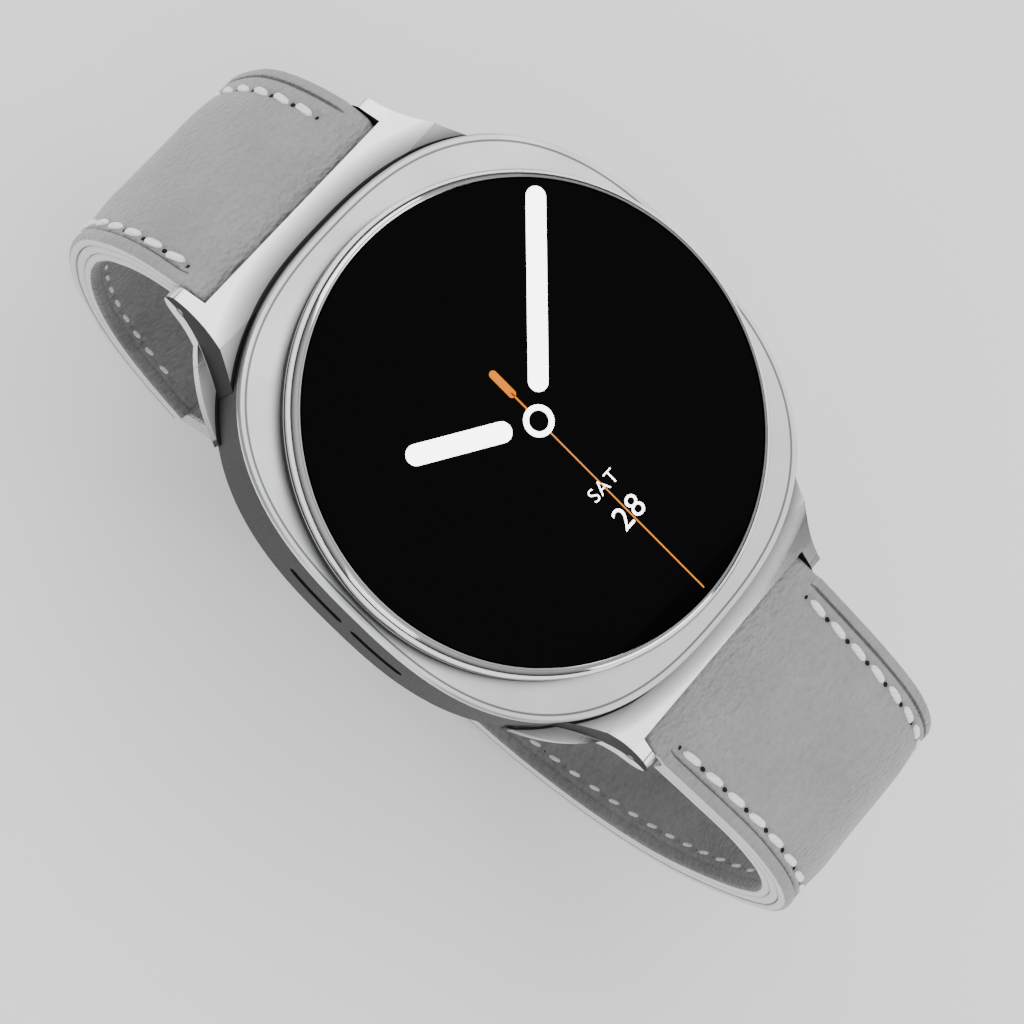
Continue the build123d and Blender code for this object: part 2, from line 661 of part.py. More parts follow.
def make_connector(side):
    """The metal end piece; side is 1 at 12 o'clock and -1 at 6 o'clock."""
    with BuildPart() as connector:
        # side view: a roof that rises to a crease and slopes down to round ears
        with BuildSketch(Plane.YZ):
            with BuildLine():
                Polyline(
                    (side * CONNECTOR_BACK_Y, CASE_BOTTOM),
                    (side * CONNECTOR_BACK_Y, 6.5),
                    (side * CONNECTOR_CREASE[0], CONNECTOR_CREASE[1]),
                    (side * CONNECTOR_LIP[0], CONNECTOR_LIP[1]),
                    (side * CONNECTOR_NOSE[0], CONNECTOR_NOSE[1]),
                    (side * STRAP_BAR_Y, STRAP_BAR_Z - EAR_RADIUS),
                    (side * CONNECTOR_BACK_Y, CASE_BOTTOM),
                )
            make_face()
            with Locations((side * STRAP_BAR_Y, STRAP_BAR_Z)):
                Circle(EAR_RADIUS)
        extrude(amount=18, both=True)
        # plan view: sides that flare towards the case
        with BuildSketch(Plane.XY):
            with BuildLine():
                right = [(x, side * y) for x, y in CONNECTOR_FLARE]
                left = [(-x, y) for x, y in right]
                Line(right[0], left[0])
                Spline(*left)
                Line(left[-1], right[-1])
                Spline(*reversed(right))
            make_face()
        extrude(amount=10, mode=Mode.INTERSECT)
        # skirt along the foot of each side
        with BuildSketch(Plane.XY.offset(CASE_BOTTOM - 0.1)):
            with BuildLine():
                edge = [(-x, side * y) for x, y in SKIRT_EDGE]
                corner = (-SKIRT_INNER_X, edge[0][1])
                Line(corner, edge[0])
                Spline(*edge)
                Line(edge[-1], corner)
            make_face()
            mirror(about=Plane.YZ)
        extrude(amount=SKIRT_HEIGHT)
        # room for the case wall
        with BuildSketch(Plane.XY):
            with BuildLine():
                Spline(*superellipse(SLIP), periodic=True)
            make_face()
        extrude(amount=10, mode=Mode.SUBTRACT)
        # channel between the ears for the strap
        with BuildSketch(Plane.YZ):
            with Locations((side * STRAP_BAR_Y, STRAP_BAR_Z)):
                Circle(LOOP_RADIUS + 0.33)
            with Locations((side * (CONNECTOR_LIP[0] + 3), 3)):
                Rectangle(6, 8)
        extrude(amount=EAR_INNER_X, both=True, mode=Mode.SUBTRACT)
        # tongue that fills the recess in the case
        with BuildSketch(Plane.XY.offset(CASE_BOTTOM + 0.15)):
            with Locations((0, side * 21.4)):
                Rectangle(2 * (RECESS_HALF_WIDTH - 0.15), 3.3)
        extrude(amount=RECESS_TOP - CASE_BOTTOM - 0.3)
        # bore and release slot for the spring bar on the case side
        with BuildSketch(Plane.YZ):
            with Locations((side * CASE_BAR_Y, CASE_BAR_Z)):
                Circle(BAR_TUBE_RADIUS + SLIP)
        extrude(amount=RECESS_HALF_WIDTH, both=True, mode=Mode.SUBTRACT)
        with BuildSketch(Plane.XY):
            with Locations((RELEASE_X + RELEASE_TRAVEL / 2, side * CASE_BAR_Y)):
                Rectangle(2.6, 1.3)
        extrude(amount=CASE_BAR_Z, mode=Mode.SUBTRACT)
        # holes through the ears for the strap's spring bar
        with BuildSketch(Plane.YZ):
            with Locations((side * STRAP_BAR_Y, STRAP_BAR_Z)):
                Circle(BAR_BORE_RADIUS)
        extrude(amount=EAR_OUTER_X + 1, both=True, mode=Mode.SUBTRACT)
    return connector


save(make_connector(1), "upper_connector")
save(make_connector(-1), "lower_connector")

# =====================================================================
# Spring bars
# =====================================================================


def make_bar(y, z, half_length, reach):
    """A tube with a fixed pin at its +X end and a slot underneath for the release knob."""
    with BuildPart() as bar:
        with BuildSketch(Plane.YZ.offset(-half_length)):
            with Locations((y, z)):
                Circle(BAR_TUBE_RADIUS)
                Circle(BAR_BORE_RADIUS, mode=Mode.SUBTRACT)
        extrude(amount=2 * half_length)
        with BuildSketch(Plane.YZ.offset(half_length - 2.5)):
            with Locations((y, z)):
                Circle(BAR_BORE_RADIUS)
        extrude(amount=2.5)
        with BuildSketch(Plane.YZ.offset(half_length - 0.5)):
            with Locations((y, z)):
                Circle(BAR_PIN_RADIUS)
        extrude(amount=reach - half_length + 0.5)
        with BuildSketch(Plane.YZ.offset(RELEASE_X - 0.5)):
            with Locations((y, z - 0.5)):
                Rectangle(0.9, 1.0)
        extrude(amount=RELEASE_TRAVEL + 1.0, mode=Mode.SUBTRACT)
    return bar


def make_release(y, z, reach, knob_length):
    """The sprung pin at the -X end, with the knob that pulls it back."""
    with BuildPart() as release:
        with BuildSketch(Plane.YZ.offset(-reach)):
            with Locations((y, z)):
                Circle(BAR_PIN_RADIUS)
        extrude(amount=reach + RELEASE_PIN_END)
        with BuildSketch(Plane.XY.offset(z)):
            with Locations((RELEASE_X, y)):
                Rectangle(0.7, 0.7)
        extrude(amount=-knob_length)
        with BuildSketch(Plane.XY.offset(z - knob_length)):
            with Locations((RELEASE_X, y)):
                Rectangle(0.9, 1.0)
        extrude(amount=0.35)
    return release


def make_spring(y, z):
    """The bar's coil spring, of eight-sided wire, at its shortest length inside the tube."""
    start = (RELEASE_PIN_END + RELEASE_TRAVEL + 0.2, y, z)
    with BuildPart() as spring:
        with BuildLine():
            coil = Helix(SPRING_PITCH, SPRING_LENGTH, SPRING_RADIUS, center=start, direction=(1, 0, 0))
        with BuildSketch(Plane(origin=coil @ 0, z_dir=coil % 0)):
            RegularPolygon(SPRING_WIRE_RADIUS, SPRING_WIRE_SIDES)
        sweep(is_frenet=True)
    return spring


for side, prefix in ((1, "upper"), (-1, "lower")):
    case_bar = make_bar(side * CASE_BAR_Y, CASE_BAR_Z, CASE_BAR_HALF, CASE_BAR_REACH)
    save(case_bar, f"{prefix}_case_bar")
    case_release = make_release(side * CASE_BAR_Y, CASE_BAR_Z, CASE_BAR_REACH, CASE_KNOB_LENGTH)
    save(case_release, f"{prefix}_case_release")
    strap_bar = make_bar(side * STRAP_BAR_Y, STRAP_BAR_Z, STRAP_BAR_HALF, STRAP_BAR_REACH)
    save(strap_bar, f"{prefix}_strap_bar")
    strap_release = make_release(side * STRAP_BAR_Y, STRAP_BAR_Z, STRAP_BAR_REACH, STRAP_KNOB_LENGTH)
    save(strap_release, f"{prefix}_strap_release")
    save(make_spring(side * STRAP_BAR_Y, STRAP_BAR_Z), f"{prefix}_strap_spring")
    save(make_spring(side * CASE_BAR_Y, CASE_BAR_Z), f"{prefix}_case_spring")

# =====================================================================
# Clasp halves and strap halves
# =====================================================================


class ClaspLine:
    """The underside of a clasp half: a straight line from the seam to the strap."""

    def __init__(self, side, length, rise):
        self.side = side
        self.length = length
        self.along = (side * cos(radians(rise)), sin(radians(rise)))
        self.up = (-side * sin(radians(rise)), cos(radians(rise)))

    def at(self, distance, height):
        """(y, z) at a distance from the seam and a height over the underside."""
        y = CLASP_SEAM_Y + self.along[0] * distance + self.up[0] * height
        z = CLASP_UNDERSIDE + self.along[1] * distance + self.up[1] * height
        return (y, z)


upper_clasp = ClaspLine(1, UPPER_CLASP_LENGTH, UPPER_CLASP_RISE)
lower_clasp = ClaspLine(-1, LOWER_CLASP_LENGTH, 0)

BAR_TOP = STRAP_BAR_Z + LOOP_RADIUS
upper_path = Spline(
    (STRAP_BAR_Y, BAR_TOP),
    (29.4, 2.6),
    (32.6, -0.4),
    (35.0, -4.8),
    (35.9, -10.3),
    (34.9, -16.3),
    (31.3, -22.9),
    (26.2, -27.2),
    upper_clasp.at(UPPER_CLASP_LENGTH, CLASP_PROUD),
    tangents=((1, -0.1), (-upper_clasp.along[0], -upper_clasp.along[1])),
    tangent_scalars=(1, 1),
)
lower_path = Spline(
    (-STRAP_BAR_Y, BAR_TOP),
    (-33.0, 4.2),
    (-39.0, 3.8),
    (-43.5, 1.9),
    (-46.4, -1.8),
    (-47.1, -6.2),
    (-45.8, -12.4),
    (-42.2, -20.4),
    (-36.5, -26.8),
    (-29.5, -31.1),
    (-22.0, -33.3),
    lower_clasp.at(LOWER_CLASP_LENGTH, CLASP_PROUD),
    tangents=((-1, 0.02), (1, 0)),
)


def layer_points(path, side, share):
    """Points of a line at a share of the strap's thickness under its outer face."""
    points = []
    for step in range(STRAP_SAMPLES + 1):
        t = step / STRAP_SAMPLES
        thickness = STRAP_THICKNESS_AT_BAR
        thickness += (STRAP_THICKNESS_AT_CLASP - STRAP_THICKNESS_AT_BAR) * t
        place = path @ t
        heading = path % t
        inward = Vector(heading.Y, -heading.X) * side
        spot = place + inward * (share * thickness)
        points.append((spot.X, spot.Y))
    return points


def layer_sketch(path, side, top_share, bottom_share):
    """The side view of one layer, in the plane of the path."""
    top = layer_points(path, side, top_share)
    bottom = layer_points(path, side, bottom_share)
    with BuildSketch() as layer:
        with BuildLine():
            Spline(*top)
            Line(top[-1], bottom[-1])
            Spline(*reversed(bottom))
            Line(bottom[0], top[0])
        make_face()
    return layer.sketch


def width_envelope(side, ear_half_width):
    """The block that holds the strap's outline, seen from above and from the end."""
    with BuildPart() as envelope:
        with BuildSketch(Plane.XY.offset(STRAP_FLOOR)):
            with BuildLine():
                Polyline(
                    (0, side * 8),
                    (NOTCH_HALF_WIDTH, side * 8),
                    (NOTCH_HALF_WIDTH, side * NOTCH_END_Y),
                    (ear_half_width, side * (NOTCH_END_Y + 0.5)),
                    (10.5, side * 38),
                    (10.4, side * 55),
                    (0, side * 55),
                    close=True,
                )
            make_face()
            mirror(about=Plane.YZ)
        extrude(amount=55)
        with BuildSketch(Plane.XZ):
            with BuildLine():
                Line((0, STRAP_TAPER[0][1]), STRAP_TAPER[0])
                Spline(*STRAP_TAPER)
                Polyline(STRAP_TAPER[-1], (0, STRAP_FLOOR), (0, STRAP_TAPER[0][1]))
            make_face()
            mirror(about=Plane.YZ)
        extrude(amount=60, both=True, mode=Mode.INTERSECT)
    return envelope.part


def round_bar(side, radius):
    """A cylinder about the strap's spring bar."""
    with BuildPart() as cylinder:
        with BuildSketch(Plane.YZ):
            with Locations((side * STRAP_BAR_Y, STRAP_BAR_Z)):
                Circle(radius)
        extrude(amount=15, both=True)
    return cylinder.part


def release_window(side):
    """The opening for the release knob, on the wrist side of the spring bar."""
    with BuildPart() as window:
        with BuildSketch(Plane.XY.offset(-2)):
            with Locations((RELEASE_X + RELEASE_TRAVEL / 2, side * (STRAP_BAR_Y + 0.3))):
                Rectangle(RELEASE_TRAVEL + 2.2, 2.6)
        extrude(amount=STRAP_BAR_Z + 2)
    return window.part


def clasp_plane(clasp, height):
    """A plane along the clasp's underside at a height, centred on the screws."""
    y, z = clasp.at(clasp.length - TAB_LENGTH / 2, height)
    return Plane((0, y, z), x_dir=(1, 0, 0), z_dir=(0, clasp.up[0], clasp.up[1]))


def screw_posts(clasp, height, radius, length):
    """Two cylinders where the clasp screws stand, from a height over the underside."""
    with BuildPart() as posts:
        with BuildSketch(clasp_plane(clasp, height)):
            with Locations((SCREW_X, 0), (-SCREW_X, 0)):
                Circle(radius)
        extrude(amount=length)
    return posts.part


def clasp_bar(clasp, start, end, low, high, half_width):
    """A straight block along the clasp line."""
    with BuildPart() as block:
        with BuildSketch(Plane.YZ):
            with BuildLine():
                Polyline(
                    clasp.at(start, low),
                    clasp.at(end, low),
                    clasp.at(end, high),
                    clasp.at(start, high),
                    close=True,
                )
            make_face()
        extrude(amount=half_width, both=True)
    return block.part


def clasp_plan(clasp):
    """The clasp half's plan outline: a wide end at the strap and a waist at the seam."""
    seam = CLASP_SEAM_Y + clasp.side * CLASP_GAP / 2
    far = clasp.at(clasp.length, 0)[0] + clasp.side * 2
    bend = far - clasp.side * 7.5
    with BuildPart() as plan:
        with BuildSketch(Plane.XY.offset(STRAP_FLOOR)):
            with BuildLine():
                Polyline((0, seam), (CLASP_WAIST_HALF_WIDTH, seam), (CLASP_WAIST_HALF_WIDTH, bend))
                Spline(
                    (CLASP_WAIST_HALF_WIDTH, bend),
                    (CLASP_END_HALF_WIDTH, far),
                    tangents=((0, clasp.side), (0.2, clasp.side)),
                )
                Polyline((CLASP_END_HALF_WIDTH, far), (0, far), (0, seam))
            make_face()
            mirror(about=Plane.YZ)
        extrude(amount=25)
    return plan.part


def make_outer_leather(path, side, ear_half_width):
    """The face leather, which also wraps round the spring bar."""
    with BuildPart() as leather:
        with BuildSketch(Plane.YZ):
            add(layer_sketch(path, side, 0, OUTER_SHARE))
        extrude(amount=STRAP_BLOCK_HALF_WIDTH, both=True)
        add(width_envelope(side, ear_half_width), mode=Mode.INTERSECT)
        with BuildSketch(Plane.YZ):
            with Locations((side * STRAP_BAR_Y, STRAP_BAR_Z)):
                Circle(LOOP_RADIUS)
        extrude(amount=NOTCH_HALF_WIDTH, both=True)
        add(round_bar(side, BAR_TUBE_RADIUS + 0.03), mode=Mode.SUBTRACT)
        add(release_window(side), mode=Mode.SUBTRACT)
    return leather


def make_padding(path, side, ear_half_width, clasp):
    """The stiff core; its end is a tab that the clasp holds."""
    low = CLASP_PROUD + OUTER_SHARE * STRAP_THICKNESS_AT_CLASP
    high = CLASP_PROUD + PADDING_SHARE * STRAP_THICKNESS_AT_CLASP
    screw_holes = screw_posts(clasp, CLASP_SCREW_FLOOR, CLASP_SCREW_RADIUS + PLAY, CLASP_THICKNESS)
    with BuildPart() as padding:
        with BuildSketch(Plane.YZ):
            add(layer_sketch(path, side, OUTER_SHARE, PADDING_SHARE))
        extrude(amount=STRAP_BLOCK_HALF_WIDTH, both=True)
        add(width_envelope(side, ear_half_width), mode=Mode.INTERSECT)
        add(round_bar(side, LOOP_RADIUS + TIGHT), mode=Mode.SUBTRACT)
        add(clasp_bar(clasp, clasp.length - TAB_LENGTH, clasp.length + 0.3, low, high, TAB_HALF_WIDTH))
        add(screw_holes, mode=Mode.SUBTRACT)
    return padding


def make_lining(path, side, ear_half_width):
    """The leather on the wrist side."""
    with BuildPart() as lining:
        with BuildSketch(Plane.YZ):
            add(layer_sketch(path, side, PADDING_SHARE + 0.005, 1))
        extrude(amount=STRAP_BLOCK_HALF_WIDTH, both=True)
        add(width_envelope(side, ear_half_width), mode=Mode.INTERSECT)
        add(round_bar(side, LOOP_RADIUS + TIGHT), mode=Mode.SUBTRACT)
        add(release_window(side), mode=Mode.SUBTRACT)
    return lining


def make_clasp_shell(clasp):
    """The outer half shell, open towards the wrist, with a slot for the strap tab."""
    floor = CLASP_THICKNESS - LINER_THICKNESS
    low = CLASP_PROUD + OUTER_SHARE * STRAP_THICKNESS_AT_CLASP - SLIP
    high = CLASP_PROUD + PADDING_SHARE * STRAP_THICKNESS_AT_CLASP + SLIP
    tab_start = clasp.length - TAB_LENGTH - 2 * PLAY
    magnet_end = SEAM_WALL + MAGNET_LENGTH
    seat_half_width = LINER_HALF_WIDTH + SLIP
    seat = clasp_bar(clasp, SEAM_WALL, clasp.length - END_WALL, floor, CLASP_THICKNESS + 1, seat_half_width)
    magnet_bay = clasp_bar(clasp, SEAM_WALL, magnet_end, MAGNET_FLOOR, floor + PLAY, MAGNET_HALF_WIDTH + PLAY)
    tab_slot = clasp_bar(clasp, tab_start, clasp.length + 1, low, high, TAB_HALF_WIDTH + PLAY)
    screw_holes = screw_posts(clasp, CLASP_SCREW_FLOOR, CLASP_SCREW_RADIUS + TIGHT, CLASP_THICKNESS)
    with BuildPart() as shell:
        add(clasp_bar(clasp, -1.5, clasp.length, 0, CLASP_THICKNESS, 11))
        add(clasp_plan(clasp), mode=Mode.INTERSECT)
        through = Axis((0, 0, 0), (0, clasp.up[0], clasp.up[1]))
        chamfer(shell.faces().sort_by(through)[0].edges(), length=CLASP_OUTER_BEVEL)
        chamfer(shell.faces().sort_by(through)[-1].edges(), length=CLASP_INNER_BEVEL)
        add(seat, mode=Mode.SUBTRACT)
        add(magnet_bay, mode=Mode.SUBTRACT)
        add(tab_slot, mode=Mode.SUBTRACT)
        add(screw_holes, mode=Mode.SUBTRACT)
    return shell


def make_clasp_liner(clasp):
    """The cover plate on the wrist side."""
    floor = CLASP_THICKNESS - LINER_THICKNESS
    with BuildPart() as liner:
        start = SEAM_WALL + SLIP
        end = clasp.length - END_WALL - SLIP
        add(clasp_bar(clasp, start, end, floor, CLASP_THICKNESS, LINER_HALF_WIDTH))
        add(screw_posts(clasp, floor - 1, CLASP_HEAD_RADIUS + SLIP, 3), mode=Mode.SUBTRACT)
    return liner


def make_clasp_magnets(clasp):
    """A row of three block magnets behind the seam."""
    with BuildPart() as magnets:
        start = SEAM_WALL + SLIP
        end = SEAM_WALL + MAGNET_LENGTH - SLIP
        low = MAGNET_FLOOR + SLIP
        high = CLASP_THICKNESS - LINER_THICKNESS
        add(clasp_bar(clasp, start, end, low, high, MAGNET_HALF_WIDTH))
        with BuildSketch(Plane.XY.offset(STRAP_FLOOR)):
            with Locations((2.2, CLASP_SEAM_Y), (-2.2, CLASP_SEAM_Y)):
                Rectangle(MAGNET_GAP, 20)
        extrude(amount=25, mode=Mode.SUBTRACT)
    return magnets


def make_clasp_screws(clasp):
    """Two screws that clamp the tab, with their heads in the liner."""
    floor = CLASP_THICKNESS - LINER_THICKNESS
    with BuildPart() as screws:
        add(screw_posts(clasp, CLASP_SCREW_FLOOR + SLIP, CLASP_SCREW_RADIUS, floor - CLASP_SCREW_FLOOR))
        add(screw_posts(clasp, floor, CLASP_HEAD_RADIUS, LINER_THICKNESS - SLIP))
        with BuildSketch(clasp_plane(clasp, CLASP_THICKNESS - 0.25)):
            with Locations((SCREW_X, 0), (-SCREW_X, 0)):
                Rectangle(1.3, 0.25)
        extrude(amount=1, mode=Mode.SUBTRACT)
    return screws


HALVES = (
    ("upper", 1, upper_path, upper_clasp, UPPER_EAR_HALF_WIDTH),
    ("lower", -1, lower_path, lower_clasp, LOWER_EAR_HALF_WIDTH),
)
for prefix, side, path, clasp, ear_half_width in HALVES:
    save(make_outer_leather(path, side, ear_half_width), f"{prefix}_strap_leather")
    save(make_padding(path, side, ear_half_width, clasp), f"{prefix}_strap_padding")
    save(make_lining(path, side, ear_half_width), f"{prefix}_strap_lining")
    save(make_clasp_shell(clasp), f"{prefix}_clasp_shell")
    save(make_clasp_liner(clasp), f"{prefix}_clasp_liner")
    save(make_clasp_magnets(clasp), f"{prefix}_clasp_magnets")
    save(make_clasp_screws(clasp), f"{prefix}_clasp_screws")
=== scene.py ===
import json
from math import atan2, cos, exp, hypot, pi, radians, sin, sqrt

import bpy
import numpy as np
from mathutils import Matrix, Vector, noise


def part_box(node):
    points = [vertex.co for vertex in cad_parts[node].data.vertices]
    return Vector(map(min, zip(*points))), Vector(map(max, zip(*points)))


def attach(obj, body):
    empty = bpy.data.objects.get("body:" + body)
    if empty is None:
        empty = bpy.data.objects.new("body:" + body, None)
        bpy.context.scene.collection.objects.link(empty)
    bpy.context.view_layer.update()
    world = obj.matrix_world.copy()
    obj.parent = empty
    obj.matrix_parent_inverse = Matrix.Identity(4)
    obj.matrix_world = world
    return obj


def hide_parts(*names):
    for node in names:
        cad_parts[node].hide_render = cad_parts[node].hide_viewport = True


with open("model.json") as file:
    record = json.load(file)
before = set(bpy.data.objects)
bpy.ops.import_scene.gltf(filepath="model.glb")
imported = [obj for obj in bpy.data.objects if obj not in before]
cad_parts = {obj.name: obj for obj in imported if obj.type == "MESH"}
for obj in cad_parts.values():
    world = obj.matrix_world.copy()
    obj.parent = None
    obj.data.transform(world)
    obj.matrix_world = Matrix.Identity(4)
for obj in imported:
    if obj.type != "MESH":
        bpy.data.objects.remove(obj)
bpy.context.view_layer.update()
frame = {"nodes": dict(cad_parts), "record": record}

# Looks of a smartwatch with a leather strap. Sizes are in millimetres here and
# are turned into metres when a mesh is made. X is 3 o'clock, Y is 12 o'clock.

MM = 0.001
DISPLAY_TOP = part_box("cover_glass")[1].z / MM
FLOOR_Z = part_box("lower_clasp_shell")[0].z / MM

# ---- strap: sizes, and the outer line of each half in the YZ plane, as in the CAD model ----
BAR_Y = 26.1
BAR_Z = 2.5
LOOP_RADIUS = 1.62
LOOP_LEATHER = 0.84
THICKNESS_AT_BAR = 3.2
THICKNESS_AT_CLASP = 2.7
FACE_SHARE = 0.36
CORE_SHARE = 0.68
NOTCH_HALF_WIDTH = 10.68
NOTCH_END = 27.95
UPPER_EAR_HALF_WIDTH = 10.75
LOWER_EAR_HALF_WIDTH = 10.8
LINING_START = 2.1
STATION_STEP = 0.26
SPLINE_STEPS = 40

# half the width by the distance from the middle past the ears, and by the height
WIDTH_BY_LENGTH = ((38, 55), (10.5, 10.4))
WIDTH_BY_HEIGHT = ((-45, -30, -16, -7, 1, 8), (9.75, 9.8, 10.1, 10.35, 10.9, 11.3))

UPPER_LINE = (
    (26.1, 4.12), (29.4, 2.6), (32.6, -0.4), (35.0, -4.8), (35.9, -10.3),
    (34.9, -16.3), (31.3, -22.9), (26.2, -27.2), (18.18, -30.2),
)
LOWER_LINE = (
    (-26.1, 4.12), (-33.0, 4.2), (-39.0, 3.8), (-43.5, 1.9), (-46.4, -1.8), (-47.1, -6.2),
    (-45.8, -12.4), (-42.2, -20.4), (-36.5, -26.8), (-29.5, -31.1), (-22.0, -33.3), (-15.0, -33.75),
)

# directions in which each line starts and ends
UPPER_ENDS = ((1, -0.1), (-0.9703, -0.2419))
LOWER_ENDS = ((-1, 0.02), (1, 0))

# ---- stitches ----
STITCH_PITCH = 2.6
STITCH_LENGTH = 1.9
STITCH_RADIUS = 0.35
LINING_STITCH_SHARE = 0.62
STITCH_SLANT = 8.0
# (right, left) side of each half: from the edge to the row, and from the bar to the first hole
UPPER_STITCH_INSETS, UPPER_FIRST_HOLES = (2.75, 1.7), (3.5, 2.5)
LOWER_STITCH_INSETS, LOWER_FIRST_HOLES = (2.25, 1.95), (2.4, 2.4)
FACE_STITCH_SINK = 0.02
LINING_STITCH_SINK = 0.08
LINING_STITCH_LENGTH_SHARE = 0.8
STITCH_RINGS = 11
STITCH_SIDES = 10
STITCH_FLATNESS = 0.72
STITCH_END_DIP = 0.42
STITCH_END_POWER = 3.2
STITCH_SWAY = 6.0
STITCH_END_MARGIN = 1.0
HOLE_RADIUS = 0.3
HOLE_SIDES = 12
HOLE_DOME_RINGS = ((1.0, 0.0), (0.6, 0.05))  # share of the radius, and rise
HOLE_DOME_TOP = 0.07
FIRST_HOLE_SHARE = 1.35
FIRST_HOLE_BACK = 0.35
HOLE_LIFT = 0.13
LINING_HOLE_SINK = 0.24

# ---- painted dark lines of the metal parts (painted shade and painted reflection): heights, radii and distances from the middle ----
RING_DARK_BANDS = ((8.3, 9.25), (9.4, 9.85))
RING_TOP_LINE = (20.0, 20.07)
CREASE_LINE = (22.02, 22.16)
SKIRT_TOP = 2.3

# ---- case outline, as in the CAD model ----
CASE_HALF_WIDTH = 21.6
CASE_HALF_LENGTH = 23.0
CASE_POWER = 2.57
# the outline value is 1 on the case outline, less inside it and more outside it
PLATE_LINE = (0.925, 0.945)
# painted shade on the plate's rim next to each connector
PLATE_EDGE = (0.985, 1.0)
PLATE_EDGE_START = (17.0, 18.0)
PLATE_LINE_DARKNESS = 0.8
PLATE_EDGE_DARKNESS = 0.7
OUTLINE_SOFTNESS = 0.004
# painted shade on the connectors: a dark line where they meet the case, then a darkening that fades out away
# from it
CONNECTOR_SEAM_SHADE = (1.03, 1.045)
CONNECTOR_SHADE = (1.04, 1.27)
CONNECTOR_SHADE_DARKNESS = 0.72
# painted shade along the connectors' crease, and on their flanks by how far sideways they face
CREASE_DARKNESS = 0.45
FLANK_SHADE_FACING = (0.45, 0.6)

# ---- materials ----
POLISHED_RING = (0.94, 0.94, 0.95)
# painted shade and painted reflection: the dull black that polished metal is painted where it is shaded or
# mirrors dark surroundings
PAINTED_SHADE_BLACK = (0.012, 0.012, 0.013)
# black of the plate's fine line and of its painted shade by the connectors
PLATE_LINE_BLACK = (0.04, 0.04, 0.042)
# extra roughness where metal is painted black as shade
PAINTED_SHADE_ROUGHNESS = 0.45
BAND_SOFTNESS = 0.03
NOISE_RANGE = (0.3, 0.7)  # most of a noise lies between these


# =====================================================================
# Materials
# =====================================================================


